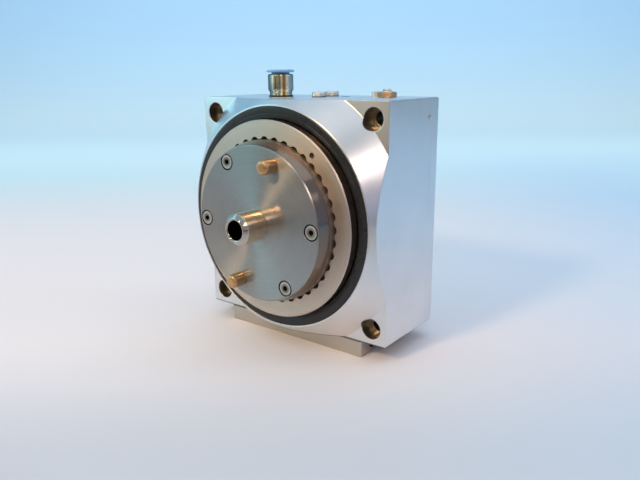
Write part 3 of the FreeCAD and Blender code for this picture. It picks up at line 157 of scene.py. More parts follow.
MIDDLE = (0.0, 0.0, 0.05)
LAMPS = (
    ("key", (-0.08, -0.62, 0.52), (0.10, 0.10), "key_power", (1.0, 0.66, 0.36), MIDDLE),
    ("camera_side", (0.56, -0.63, 0.56), (0.26, 0.26), "sheen_power", (1.0, 0.82, 0.74), MIDDLE),
    ("cool_left", (-1.0, -0.25, 0.6), (0.8, 0.8), "cool_power", (0.30, 0.72, 1.0), MIDDLE),
    ("low_left", (-0.92, -0.84, 0.15), (0.5, 0.25), "low_power", (0.80, 0.95, 1.0), MIDDLE),
    ("over_floor", (0.1, 0.25, 1.3), (1.2, 1.2), "floor_power", (1.0, 0.97, 1.0), MIDDLE),
    ("small_right", (0.70, 0.45, 0.50), (0.14, 0.14), "glint_power", (1.0, 0.93, 0.9), MIDDLE),
    ("over_backdrop", (-0.487, 0.634, 0.75), (2.4, 0.5), "back_power", (0.95, 0.98, 1.0),
     (-0.853, 1.110, 0.15)),
)

# Finishes of the nodes whose shapes stay

COATS = {
    "satin_aluminium": "housing rear_cover",
    "dull_aluminium": "foot_plate",
    "turned_plate": "adapter_plate",
    "turned_hub": "turntable_hub",
    "turned_ring": "index_ring",
    "screw_steel": "ring_key_pin rear_cover_screws foot_screws foot_channel_plug cover_dowels "
                   "ring_screws index_disc_screws throttle_screw",
    "hardened_steel": "index_disc drive_gear rack_piston lock_bolt front_thrust_washer "
                      "rear_thrust_washer bearing_circlip shaft_circlip tube_grip_ring",
    "ground_steel": "front_bearing_outer_ring rear_bearing_outer_ring front_bearing_inner_ring "
                    "rear_bearing_inner_ring front_bearing_balls rear_bearing_balls clutch_shell "
                    "clutch_rollers",
    "cage_plastic": "front_bearing_cage rear_bearing_cage",
    "bronze": "lock_guide_bush",
    "seal_rubber": "plug_seals tube_seal rack_cylinder_seal lock_cylinder_seal rack_seals "
                   "lock_bolt_seal",
}


# Settings


def setting(kind, **limits):
    """Maker of settings of one kind, each from its description and default."""
    return lambda description, default: (
        kind, {"description": description, "default": default, **limits})


def named(group):
    """Name each setting of a group after its key."""
    for key, (kind, values) in group.__annotations__.items():
        group.__annotations__[key] = kind(name=key.replace("_", " ").capitalize(), **values)
    return group


length = setting(FloatProperty, subtype="DISTANCE", unit="LENGTH", min=0.0, precision=5)
colour = setting(FloatVectorProperty, subtype="COLOR", size=3, min=0.0, max=1.0)
share = setting(FloatProperty, subtype="FACTOR", min=0.0, max=1.0)
power = setting(FloatProperty, subtype="POWER", unit="POWER", min=0.0)
strength = setting(FloatProperty, min=0.0)
focal_length = setting(FloatProperty, subtype="DISTANCE_CAMERA", min=1.0)
whole_number = setting(IntProperty, min=1)


@named
class TableSizes(PropertyGroup):
    """Sizes of the pieces that are made here."""

    edge_round: length("Round on the turned edges", 0.00018)
    seal_outer: length("Outer radius of the wiper seal", 0.0474)
    seal_crease: length("Radius of the crease at the seal's lip", 0.0442)
    seal_lip: length("Inner radius of the seal's lip", 0.04235)
    lip_setback: length("Depth of the lip behind the seal's face", 0.0009)
    lip_thickness: length("Thickness of the seal's lip", 0.001)
    spigot_radius: length("Radius of the centring spigot", 0.0065)
    spigot_shank: length("Radius of the spigot inside the plate", 0.0055)
    spigot_bore: length("Radius of the spigot's bore", 0.004)
    spigot_chamfer: length("Chamfer at the spigot's tip", 0.0015)
    pin_radius: length("Radius of the dowel pins", 0.003)
    pin_shank: length("Radius of the dowel pins inside the plate", 0.0025)
    pin_round: length("Round at the dowel pins' tips", 0.0012)
    pin_circle: length("Radius of the circle of the dowel pins", 0.027)
    sunk_head: length("Radius of the adapter screws' heads", 0.00318)
    sunk_shank: length("Radius of the adapter screws' shanks", 0.0015)
    sunk_socket: length("Width across flats of the adapter screws' sockets", 0.002)
    sunk_circle: length("Radius of the circle of the adapter screws", SUNK_CIRCLE)
    fitting_thread: length("Radius of the fitting's thread", 0.0048)
    fitting_neck: length("Radius of the fitting's neck", 0.0051)
    fitting_washer: length("Height of the washer under the fitting", 0.0006)
    neck_top: length("Height of the fitting's neck over the top face", 0.0024)
    fitting_body: length("Radius of the fitting's body", 0.00575)
    fitting_cavity: length("Radius of the fitting's cavity", 0.00435)
    cavity_depth: length("Depth of the fitting's cavity", 0.0065)
    tube_radius: length("Radius of the tube socket", 0.00305)
    socket_floor: length("Depth of the socket's floor under the top face", 0.0045)
    way_radius: length("Radius of the way through the fitting", 0.002)
    collar_flange: length("Height of the release collar's flange", 0.0012)
    collar_skirt: length("Radius of the release collar's skirt", 0.00405)
    plug_head: length("Radius of the channel plugs' heads", 0.0031)
    plug_thread: length("Radius of the channel plugs' threads", 0.0025)
    plug_socket: length("Width across flats of the plugs' sockets", 0.0025)
    plug_seal: length("Height of the seals under the plugs", 0.0003)
    nut_across: length("Width across flats of the lock nut", 0.007)
    stop_radius: length("Radius of the stop screw", 0.002)
    thread_pitch: length("Pitch of the stop screw's thread", 0.0007)
    thread_depth: length("Depth of the stop screw's thread", 0.00028)
    set_screw: length("Radius of the side set screw", 0.00125)
    spring_wire: length("Radius of the return spring's wire", 0.0004)
    spring_turns: whole_number("Turns of the return spring", 4)


@named
class TableFinish(PropertyGroup):
    """Colours and roughness of the finishes."""

    aluminium: colour("Block and cover", (0.76, 0.76, 0.77))
    foot_aluminium: colour("Foot plate", (0.56, 0.53, 0.47))
    steel: colour("Adapter plate", (0.36, 0.37, 0.36))
    hub_steel: colour("Hub", (0.30, 0.24, 0.19))
    ring_steel: colour("Index ring", (0.59, 0.505, 0.43))
    bright_steel: colour("Screws and bearings", (0.76, 0.73, 0.69))
    screw_faces: colour("Adapter screws", (0.50, 0.465, 0.415))
    # A darker, warmer tone on the plate's wall: a painted reflection.
    wall_reflection_tone: colour("Wall of the adapter plate", (0.215, 0.16, 0.125))
    # A gold tint on the spigot's steel: a painted warm reflection.
    spigot_warm_reflection: colour("Centring spigot", (0.93, 0.71, 0.51))
    hardened_steel: colour("Gear, rack, bolt, spring and clips", (0.40, 0.40, 0.42))
    bronze: colour("Dowel pins and guide bush", (0.34, 0.175, 0.07))
    # The fitting's stripe colours are painted reflections.
    brass: colour("Pale stripe of the fitting", (0.95, 0.86, 0.72))
    gold: colour("Warm stripes of the fitting", (1.0, 0.84, 0.48))
    brown: colour("Brown stripe of the fitting", (0.40, 0.22, 0.06))
    grey: colour("Grey stripes of the fitting", (0.40, 0.56, 0.54))
    slate: colour("Dark stripes of the fitting", (0.18, 0.20, 0.19))
    nut: colour("Lock nut", (0.155, 0.118, 0.092))
    collar: colour("Release collar", (0.19, 0.44, 0.74))
    rubber: colour("Seals", (0.012, 0.012, 0.014))
    cage: colour("Bearing cages", (0.16, 0.14, 0.11))
    block_roughness: share("Roughness of the block", 0.30)
    turned_roughness: share("Roughness of the turned steel", 0.48)
    streak: share("How far the gloss of turned faces is drawn out", 0.9)


@named
class TableStage(PropertyGroup):
    """Floor, backdrop, lights and camera."""

    floor: colour("Floor round the block", (0.93, 0.87, 0.87))
    floor_near: colour("Floor before the camera", (0.61, 0.65, 0.72))
    floor_behind: colour("Floor behind the camera", (0.52, 0.44, 0.39))
    floor_front: colour("Floor in front of the table", (0.13, 0.11, 0.10))
    floor_far: colour("Floor behind the block", (0.69, 0.86, 0.88))
    haze: colour("Floor at the foot of the backdrop", (0.56, 0.71, 0.75))
    # Painted cool light on the floor right of the block.
    floor_right_cool_light: colour("Floor on the right of the block", (0.53, 0.75, 0.94))
    backdrop: colour("Backdrop", (0.40, 0.65, 0.86))
    room_left: colour("Light from the left", (0.44, 0.88, 0.95))
    room_front: colour("Light from the front", (0.23, 0.16, 0.085))
    room_right: colour("Light from the right", (0.18, 0.22, 0.34))
    room_above: colour("Light from above", (0.20, 0.29, 0.37))
    room_seen: colour("Tone that the room shows", (0.36, 0.41, 0.44))
    room_strength: strength("Strength of the room's light", 2.0)
    key_power: power("Warm light in front", 2.4)
    sheen_power: power("White light by the camera", 1.2)
    cool_power: power("Cool light on the left", 1.0)
    low_power: power("Low light on the left", 0.14)
    floor_power: power("Light over the floor", 3.2)
    glint_power: power("Small light on the right", 0.7)
    back_power: power("Light over the backdrop", 6.4)
    lens: focal_length("Focal length of the camera in millimetres", 35.009)


# Surfaces


def hexagon_share(angle):
    """Radius of a hexagon of unit half width at an angle: 1 over the cosine of the angle
    from the middle of the nearest flat."""
    return 1.0 / np.cos(np.mod(angle + np.pi / 6, np.pi / 3) - np.pi / 6)


def rows(*corners, hexagon=0.0, thread=0.0):
    """Profile rows of radius, height, share of a hexagon and share of the thread."""
    corners = np.array(corners, dtype=float)
    marks = np.broadcast_to([hexagon, thread], (len(corners), 2))
    return np.concatenate([corners, marks], axis=1)


def eased(profile, ease, steps=5, most=0.45):
    """Round a profile's inner corners: corner C becomes (1-t)^2 A + 2t(1-t) C + t^2 B,
    with A and B on its two sides, the ease away or at most that share of the side."""
    before, corner, after = profile[:-2], profile[1:-1], profile[2:]
    back, on = (before - corner)[:, :2], (after - corner)[:, :2]
    back_length = np.linalg.norm(back, axis=1, keepdims=True)
    on_length = np.linalg.norm(on, axis=1, keepdims=True)
    cut = np.minimum(np.minimum(back_length, on_length) * most, ease)
    start = corner[:, :2] + back / back_length * cut
    end = corner[:, :2] + on / on_length * cut
    t = np.linspace(0, 1, steps)[None, :, None]
    curve = ((1 - t) ** 2 * start[:, None] + 2 * t * (1 - t) * corner[:, None, :2]
             + t ** 2 * end[:, None])
    marks = np.repeat(corner[:, None, 2:], steps, axis=1)
    middle = np.concatenate([curve, marks], axis=2).reshape(-1, 4)
    return np.concatenate([profile[:1], middle, profile[-1:]])


def eased_loop(ease, *corners):
    """Closed profile through the corners, all rounded but the first."""
    loop = rows(*corners)
    return eased(np.concatenate([loop, loop[:1]]), ease)[:-1]


def hexagon_socket(half, top, lead, depth, tip):
    """Rows of a hexagon socket that starts the lead under the top, with a drilled tip."""
    walls = rows((half, top - lead), (half, top - depth), hexagon=1.0)
    return np.concatenate([walls, rows((0.0, top - tip))])


def ring_quads(bands, columns, count):
    """Quads between neighbouring rows of a grid whose columns close round. Where there are as
    many bands as rows, the last row meets the first."""
    row, column = np.meshgrid(np.arange(bands), np.arange(columns), indexing="ij")
    beside, above = (column + 1) % columns, (row + 1) % count
    return np.stack([row * columns + column, row * columns + beside,
                     above * columns + beside, above * columns + column], axis=-1)


def turned(profile, centre, turn, columns=96, closed=False, across=None, pitch=1.0, depth=0.0):
    """Carry a profile round an axis. The point at turn a of a row is the centre plus
    turn times (r cos a, r sin a, h). r is the row's radius, drawn towards a hexagon by its
    hexagon share, held within a hexagon of the width across flats, and lowered by the
    thread's depth times a triangle wave of h / pitch - a / 2 pi. A row of radius 0 at
    either end is a pole, and a closed profile joins its last row to its first."""
    angle = np.linspace(0, 2 * np.pi, columns, endpoint=False)
    flat = hexagon_share(angle)[None]
    height = np.repeat(profile[:, 1:2], columns, axis=1)
    radius = profile[:, :1] * (1 + profile[:, 2:3] * (flat - 1))
    if across is not None:
        radius = np.minimum(radius, across / 2 * flat)
    wave = np.abs(2 * np.mod(height / pitch - angle / (2 * np.pi), 1) - 1)
    radius = radius - profile[:, 3:4] * depth * wave
    local = np.stack([radius * np.cos(angle), radius * np.sin(angle), height], axis=-1)
    points = (np.asarray(centre) + local @ turn.T).reshape(-1, 3)
    count = len(profile)
    bands = count if closed else count - 1
    quads = ring_quads(bands, columns, count)
    low_pole, high_pole = (profile[end, 0] == 0 and not closed for end in (0, -1))
    faces = quads[int(low_pole):bands - int(high_pole)].reshape(-1, 4).tolist()
    if low_pole:
        tip = np.zeros(columns, dtype=int)
        faces += np.stack([tip, quads[0, :, 2], quads[0, :, 3]], axis=-1).tolist()
    if high_pole:
        tip = np.full(columns, (count - 1) * columns)
        faces += np.stack([quads[-1, :, 0], quads[-1, :, 1], tip], axis=-1).tolist()
    return points, faces


def coil(middle, radius, wire, low, high, turns, steps=48, columns=16):
    """Carry a circle along a helix. At share t of the path its centre is
    (x + R cos a, y + R sin a, z): a is 2 pi times the turns times t, and z rises evenly from
    low to high. The circle spans the radial direction and the path's binormal, and a point
    in the middle closes each end."""
    along = np.linspace(0, 1, turns * steps + 1)[:, None]
    angle = 2 * np.pi * turns * along
    flat = np.zeros_like(angle)
    rise = (high - low) / (2 * np.pi * turns)
    radial = np.hstack([np.cos(angle), np.sin(angle), flat])
    path = np.hstack([middle[0] + flat, middle[1] + flat, low + (high - low) * along])
    path = path + radius * radial
    forward = np.hstack([-radius * np.sin(angle), radius * np.cos(angle), flat + rise])
    binormal = np.cross(forward / np.linalg.norm(forward, axis=1, keepdims=True), radial)
    around = np.linspace(0, 2 * np.pi, columns, endpoint=False)[None, :, None]
    spread = np.cos(around) * radial[:, None] + np.sin(around) * binormal[:, None]
    rings = path[:, None] + wire * spread
    points = np.concatenate([rings.reshape(-1, 3), path[:1], path[-1:]])
    quads = ring_quads(len(path) - 1, columns, len(path))
    first, last = (np.full(columns, len(points) - back) for back in (2, 1))
    start = np.stack([first, quads[0, :, 1], quads[0, :, 0]], axis=-1)
    end = np.stack([last, quads[-1, :, 3], quads[-1, :, 2]], axis=-1)
    return points, quads.reshape(-1, 4).tolist() + start.tolist() + end.tolist()


def piece_of(name, *surfaces, smooth_angle=38.0):
    """Make one object of one or more (points, faces) surfaces, without unused points."""
    start, points, faces = 0, [], []
    for part_points, part_faces in surfaces:
        used = np.unique(np.concatenate([np.asarray(face) for face in part_faces]))
        place = np.full(len(part_points), -1)
        place[used] = np.arange(len(used)) + start
        points.append(part_points[used])
        faces += [place[np.asarray(face)].tolist() for face in part_faces]
        start += len(used)
    mesh = bpy.data.meshes.new(name)
    mesh.from_pydata(np.concatenate(points), [], faces)
    mesh.shade_smooth()
    mesh.set_sharp_from_angle(angle=math.radians(smooth_angle))
    mesh.validate()
    piece = bpy.data.objects.new(name, mesh)
    bpy.context.scene.collection.objects.link(piece)
    return piece


def on_disc(radius, degrees, y):
    """Point at a radius and angle about the turning axis."""
    angle = math.radians(degrees)
    return (radius * math.cos(angle), y, AXIS_HEIGHT + radius * math.sin(angle))


def before_plate(node):
    """Distances from the adapter plate's face out to a node's front and back."""
    return [ADAPTER_FACE - corner[1] for corner in box(node)]


def over_top(node):
    """Heights of a node's bottom and top over the block's top face."""
    return [corner[2] - TOP_FACE for corner in box(node)]


def on_top(node):
    """Point of the block's top face in the middle of a node."""
    low, high = box(node)
    return ((low[0] + high[0]) / 2, (low[1] + high[1]) / 2, TOP_FACE)


def half_width(node):
    """Half the width of a node from left to right."""
    low, high = box(node)
    return (high[0] - low[0]) / 2


# Materials


def put(socket, value):
    """Link a node's input to a socket, or set its value."""
    if isinstance(value, NodeSocket):
        socket.id_data.links.new(value, socket)
    else:
        socket.default_value = value


def feed(node, **inputs):
    """Link or set a node's inputs by name."""
    for key, value in inputs.items():
        put(node.inputs[key.replace("_", " ")], value)


def add(tree, kind, **inputs):
    """Add a shader node and feed its inputs."""
    made = tree.nodes.new("ShaderNode" + kind)
    feed(made, **inputs)
    return made


def material(name, **inputs):
    """Start a node material, and give its tree and its Principled shader."""
    made = bpy.data.materials.new(name)
    made.use_nodes = True
    shader = made.node_tree.nodes["Principled BSDF"]
    feed(shader, **inputs)
    return made.node_tree, shader


def object_point(tree):
    """Object coordinates."""
    return add(tree, "TexCoord").outputs["Object"]


def maths(operation, first, second=0.0):
    """One Math node on two values, at least one of them a socket."""
    known = first if isinstance(first, NodeSocket) else second
    made = add(known.id_data, "Math")
    made.operation = operation
    put(made.inputs[0], first)
    put(made.inputs[1], second)
    return made.outputs[0]


def times(first, second):
    """Product of two sockets or numbers."""
    return maths("MULTIPLY", first, second)


def weighed(first, first_share, second):
    """Sum of a share of one socket and the rest of another."""
    return maths("ADD", times(first, first_share), times(second, 1 - first_share))


def reach(first, second):
    """Root of the sum of two squares."""
    squares = [maths("POWER", maths("ABSOLUTE", value), 2.0) for value in (first, second)]
    return maths("SQRT", maths("ADD", *squares))


def noise(socket, scale, detail, line=False):
    """Noise texture of a point, or of a line value."""
    made = add(socket.id_data, "TexNoise", Scale=scale, Detail=detail)
    made.noise_dimensions = "1D" if line else "3D"
    put(made.inputs["W" if line else "Vector"], socket)
    return made.outputs["Fac"]


def ranged(socket, low, high, start=0.3, end=0.7):
    """Map a socket from start and end to low and high."""
    made = add(socket.id_data, "MapRange", Value=socket, From_Min=start, From_Max=end,
               To_Min=low, To_Max=high)
    return made.outputs["Result"]


def past(socket, start, end):
    """Mask that rises from 0 at start to 1 at end."""
    return ranged(socket, 0.0, 1.0, start, end)


def until(socket, start, end):
    """Mask that falls from 1 at start to 0 at end."""
    return ranged(socket, 1.0, 0.0, start, end)


def ramp(socket, spots, interpolation="LINEAR"):
    """Colour ramp through (position, colour) spots."""
    made = add(socket.id_data, "ValToRGB", Fac=socket)
    made.color_ramp.interpolation = interpolation
    while len(made.color_ramp.elements) < len(spots):
        made.color_ramp.elements.new(0.5)
    for element, (position, shade) in zip(made.color_ramp.elements, spots):
        element.position = position
        element.color = (*shade, 1)
    return made.outputs["Color"]


def tint(socket, tone, dark, light):
    """Colour that runs from a darker to a lighter share of itself."""
    shades = [[min(1.0, part * factor) for part in tone] for factor in (dark, light)]
    return ramp(socket, tuple(zip((0.3, 0.7), shades)))


def blend(mask, base, other):
    """Colour that runs from a colour socket to another colour with a mask."""
    made = add(base.id_data, "Mix")
    made.data_type = "RGBA"
    for index, value in ((0, mask), (6, base), (7, (*other, 1))):
        put(made.inputs[index], value)
    return made.outputs[2]


def relief(shader, height, distance, edge=0.0):
    """Bump the shader from a height, over edges rounded by a bevelled normal."""
    bump = add(shader.id_data, "Bump", Distance=distance, Height=height)
    if edge:
        bevel = add(shader.id_data, "Bevel", Radius=edge)
        bevel.samples = 6
        feed(bump, Normal=bevel.outputs["Normal"])
    feed(shader, Normal=bump.outputs["Normal"])
    return bump.outputs["Normal"]


def brushed(shader, streak):
    """Draw the shader's gloss out across rings about the table's axis."""
    tangent = add(shader.id_data, "Tangent")
    tangent.direction_type = "RADIAL"
    tangent.axis = "Y"
    feed(shader, Anisotropic=streak, Anisotropic_Rotation=0.25, Tangent=tangent.outputs[0])


def parts_of(tree, centre):
    """Sockets of x, y and z from a centre, in Object coordinates."""
    back = tuple(-value for value in centre)
    moved = add(tree, "Mapping", Location=back, Vector=object_point(tree))
    parts = add(tree, "SeparateXYZ", Vector=moved.outputs[0])
    return [parts.outputs[letter] for letter in "XYZ"]


def behind_plate(tree):
    """Sockets of the radius about the axis and of the depth behind the adapter plate's face."""
    x, y, z = parts_of(tree, ADAPTER_MIDDLE)
    return reach(x, z), y


def plate_hole_shade(tree):
    """Mask of painted shade: 1 inside the adapter plate's screw holes, behind its face and within
    its chamfer.
    """
    radius, depth = behind_plate(tree)
    return times(past(depth, *HOLE_DEPTH), until(radius, *PLATE_CHAMFER))


def plate_wall(tree):
    """1 on the wall of the plate and of the collar behind it, where the plate is smoother and
    takes a painted reflection.
    """
    radius, depth = behind_plate(tree)
    return times(past(radius, *PLATE_WALL), past(depth, *PLATE_EDGE))


def ring_wall(tree):
    """1 on the outer wall of the index ring."""
    return past(behind_plate(tree)[0], *RING_WALL)


def bore_shade(tree):
    """Mask of painted shade: 1 on the wall of the spigot's bore."""
    return until(behind_plate(tree)[0], *SPIGOT_BORE)


def spigot_tip(tree):
    """1 on the chamfer and face at the spigot's tip."""
    tip = float(box("centring_spigot")[0][1])
    return until(parts_of(tree, (0.0, tip, 0.0))[1], *SPIGOT_TIP)


def sunk_screw_shade(tree):
    """Mask of painted shade: 1 behind the faces of the countersunk screws, in their countersinks
    and sockets, less in the middle of their faces.
    """
    behind = past(behind_plate(tree)[1], *SUNK_EDGE)
    nearest = 1.0
    for angle in SUNK_ANGLES:
        x, _, z = parts_of(tree, on_disc(SUNK_CIRCLE, angle, 0.0))
        nearest = maths("MINIMUM", reach(x, z), nearest)
    return maths("MAXIMUM", behind, ranged(nearest, 0.55, 0.0, *SUNK_MIDDLE))


def corner_hole_shade(tree):
    """Mask of painted shade: 1 deep inside the block's four corner holes, less at their mouths."""
    x, y, z = parts_of(tree, AXIS)
    sides = [maths("SUBTRACT", maths("ABSOLUTE", value), CORNER_HOLE) for value in (x, z)]
    inside = until(reach(*sides), *CORNER_WALL)
    return times(inside, ranged(y, 0.45, 1.0, *CORNER_DEPTH))


def top_port_shade(tree):
    """Mask of painted shade: 1 in the open port of the block's top and on its rim."""
    x, y, z = parts_of(tree, (*TOP_PORT, TOP_FACE))
    return times(until(reach(x, y), *PORT_WALL), past(z, *PORT_DEPTH))


def lathe_metal(name, tone, roughness, streak, polished=None, shade=None, mirror=0.0, dark=None):
    """Metal turned about the table's axis: fine rings in height, tint and roughness, faint
    stains, and a gloss drawn out across the rings over a share of clear mirror. Where the
    polished mask is 1 it is smoother and takes the shade colour, and where the dark mask is 1
    it takes a painted shade, dark as the shadow in a hole."""
    tree, shader = material(name, Metallic=1.0)
    x, y, z = parts_of(tree, AXIS)
    across = maths("ADD", reach(x, z), y)
    fine = noise(across, scale=5200.0, detail=3.0, line=True)
    bands = noise(across, scale=700.0, detail=2.0, line=True)
    stains = noise(object_point(tree), scale=70.0, detail=5.0)
    mixed = weighed(bands, 0.45, stains)
    base = tint(mixed, tone, dark=0.90, light=1.07)
    if shade is not None:
        base = blend(polished(tree), base, shade)
    if dark is not None:
        base = blend(dark(tree), base, RECESS_SHADE_TONE)
    rough = ranged(mixed, roughness * 0.9, roughness * 1.12)
    if polished is not None:
        rough = times(rough, ranged(polished(tree), 1.0, 0.35, 0.0, 1.0))
    feed(shader, Base_Color=base, Roughness=rough)
    normal = relief(shader, fine, distance=1.5e-6, edge=0.00012)
    brushed(shader, streak)
    if mirror:
        clear = add(tree, "BsdfPrincipled", Metallic=1.0, Base_Color=base,
                    Roughness=times(rough, 0.38), Normal=normal)
        both = add(tree, "MixShader", Fac=mirror)
        put(both.inputs[1], shader.outputs[0])
        put(both.inputs[2], clear.outputs[0])
        feed(tree.nodes["Material Output"], Surface=both.outputs[0])


def block_metal(name, tone, roughness):
    """Satin aluminium: blasted grain on the flat faces, turned rings on the cone in front of
    them, soft clouds in tint and roughness, and painted shade in the holes, in the top port and
    along the joint over the foot."""
    tree, shader = material(name, Metallic=1.0)
    x, y, z = parts_of(tree, AXIS)
    across = maths("ADD", reach(x, z), y)
    rings = noise(across, scale=2600.0, detail=3.0, line=True)
    grain = noise(object_point(tree), scale=3000.0, detail=3.0)
    clouds = noise(object_point(tree), scale=45.0, detail=5.0)
    cone = until(y, *CONE_FOOT)
    flat = maths("SUBTRACT", 1.0, cone)
    height = maths("ADD", times(rings, cone), times(grain, flat))
    joint = maths("ABSOLUTE", maths("ADD", z, AXIS_HEIGHT - FOOT_TOP))
    base = tint(clouds, tone, dark=0.95, light=1.04)
    # Painted shade deep in the corner holes, in the top port and along the joint over the foot,
    # under the cone's cut bottom.
    base = blend(corner_hole_shade(tree), base, CORNER_HOLE_SHADE_TONE)
    base = blend(top_port_shade(tree), base, PORT_SHADE_TONE)
    base = blend(ranged(joint, 0.9, 0.0, *FOOT_JOINT), base, JOINT_SHADE_TONE)
    mixed = weighed(height, 0.4, clouds)
    rough = ranged(mixed, roughness * 0.9, roughness * 1.1)
    feed(shader, Base_Color=base, Roughness=rough)
    relief(shader, height, distance=2e-6, edge=0.0005)
    brushed(shader, streak=0.55)


def satin_metal(name, tone, roughness):
    """Satin metal: drawn-out grain, soft clouds in tint and roughness."""
    tree, shader = material(name, Metallic=1.0)
    stretched = add(tree, "Mapping", Scale=(600.0, 600.0, 2400.0), Vector=object_point(tree))
    lines = noise(stretched.outputs[0], scale=1.0, detail=4.0)
    clouds = noise(object_point(tree), scale=150.0, detail=4.0)
    feed(shader, Base_Color=tint(clouds, tone, dark=0.92, light=1.05),
         Roughness=ranged(lines, roughness * 0.85, roughness * 1.15))
    relief(shader, lines, distance=2e-6, edge=0.0003)


def reflection_banded(name, roughness, centre, bands):
    """Polished metal of an upright turned piece, with painted reflections as lighter and darker
    bands along its length: each (angle in degrees, colour) is met once in each half turn about
    the centre."""
    tree, shader = material(name, Metallic=1.0)
    x, y, z = parts_of(tree, centre)
    turn = maths("DIVIDE", maths("ARCTAN2", y, x), math.pi)
    half_turn = maths("FRACT", maths("ADD", turn, 1.0))
    spots = sorted((angle / 180.0 % 1.0, shade) for angle, shade in bands)
    clouds = noise(object_point(tree), scale=260.0, detail=4.0)
    feed(shader, Base_Color=ramp(half_turn, spots),
         Roughness=ranged(clouds, roughness * 0.8, roughness * 1.25))
    lines = noise(z, scale=2600.0, detail=2.0, line=True)
    relief(shader, lines, distance=4e-7, edge=0.0002)


def moulded(name, tone, roughness, dust=1.8, pits=1e-5):
    """Rubber or plastic: fine pitting, with paler dust in patches."""
    tree, shader = material(name, Specular_IOR_Level=0.4)
    fine = noise(object_point(tree), scale=2400.0, detail=5.0)
    patches = noise(object_point(tree), scale=260.0, detail=4.0)
    mixed = times(fine, times(patches, 2.0))
    feed(shader, Base_Color=tint(mixed, tone, dark=1.0, light=dust),
         Roughness=ranged(patches, roughness * 0.85, roughness * 1.2))
    relief(shader, fine, distance=pits)


def dress(piece, finish, body, slot, *nodes):
    """Give a piece its material and body, and hide the CAD nodes that it stands for. The slot is
    not used.
    """
    piece.data.materials.append(bpy.data.materials[finish])
    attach(piece, body)
    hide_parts(*nodes)


# Operators and the pieces that they make


class MakeFinishes(Operator):
    """Make the materials."""

    bl_idname = "indexing_table.make_finishes"
    bl_label = "Finishes"

    def execute(self, context):
        look = context.scene.table_finish
        block_metal("satin_aluminium", look.aluminium, look.block_roughness)
        block_metal("dull_aluminium", look.foot_aluminium, look.block_roughness)
        # The plate's screw holes take a painted shade.
        # The plate's wall is smoother and takes a darker, warmer tone: a painted reflection.
        lathe_metal("turned_plate", look.steel, look.turned_roughness, look.streak,
                    polished=plate_wall, shade=look.wall_reflection_tone, mirror=0.4, dark=plate_hole_shade)
        lathe_metal("turned_hub", look.hub_steel, look.turned_roughness, streak=0.5)
        lathe_metal("turned_ring", look.ring_steel, look.turned_roughness, streak=0.5,
                    polished=ring_wall)
        # The spigot's bore takes a painted shade.
        # The spigot's steel is tinted gold as a painted warm reflection; its tip takes the screws'
        # paler steel tone.
        lathe_metal("ground_spigot", look.spigot_warm_reflection, 0.30, look.streak,
                    polished=spigot_tip, shade=look.screw_faces, mirror=0.6, dark=bore_shade)
        # The countersunk screws take a painted shade in their countersinks and sockets.
        lathe_metal("sunk_screw_steel", look.screw_faces, 0.34, streak=0.0, dark=sunk_screw_shade)
        satin_metal("ground_steel", look.bright_steel, 0.16)
        satin_metal("screw_steel", look.bright_steel, 0.30)
        satin_metal("hardened_steel", look.hardened_steel, 0.32)
        satin_metal("bronze", look.bronze, 0.22)
        # The fitting's stripes are painted reflections.
        reflection_banded("nickelled_brass", 0.24, sum(box("fitting_body")) / 2, (
            (-105, look.slate), (-94, look.slate), (-86, look.brass), (-80, look.brass),
            (-75, look.slate), (-69, look.grey), (-58, look.grey), (-53, look.slate),
            (-46, look.gold), (-38, look.brown), (-31, look.brown), (-22, look.gold),
            (-16, look.gold), (-10, look.grey), (5, look.grey), (18, look.slate)))
        satin_metal("yellow_nut", look.nut, 0.28)
        moulded("blue_plastic", look.collar, 0.32, dust=1.15, pits=2e-6)
        moulded("cage_plastic", look.cage, 0.5)
        moulded("seal_rubber", look.rubber, 0.30, dust=1.35)
        return {"FINISHED"}


class CoatFrame(Operator):
    """Coat the block, the turntable and the inner pieces, whose shapes stay."""

    bl_idname = "indexing_table.coat_frame"
    bl_label = "Block, turntable and inner pieces"

    def execute(self, context):
        for finish, nodes in COATS.items():
            for name in nodes.split():
                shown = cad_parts[name].data
                shown.materials.clear()
                shown.materials.append(bpy.data.materials[finish])
        return {"FINISHED"}


class MakeSeal(Operator):
    """Make the wiper seal with its creased lip."""

    bl_idname = "indexing_table.make_seal"
    bl_label = "Wiper seal"

    def execute(self, context):
        size = context.scene.table_sizes
        low, high = box("wiper_seal")
        face = high[1] - low[1]
        lip_top = face - size.lip_setback
        outer, fold, inner, crease = size.seal_outer, size.seal_crease, size.seal_lip, 0.00022
        ring = eased_loop(
            SOFT_EDGE, (outer, 0.0), (outer, face - 0.0003), (outer - 0.0004, face),
            (fold + 2 * crease, face), (fold + crease, face - 0.8 * crease),
            (fold, face - 0.1 * crease), (inner + 0.0002, lip_top + HAIR),
            (inner, lip_top - 0.0002), (inner, lip_top - size.lip_thickness),
            (fold, face - 2 * size.lip_thickness), (fold, 0.0))
        centre = (0.0, high[1], AXIS_HEIGHT)
        seal = piece_of("wiper_seal_ring", turned(ring, centre, FORWARD, SEAL_COLUMNS, closed=True))
        dress(seal, "seal_rubber", "body", "black_rubber", "wiper_seal")
        return {"FINISHED"}


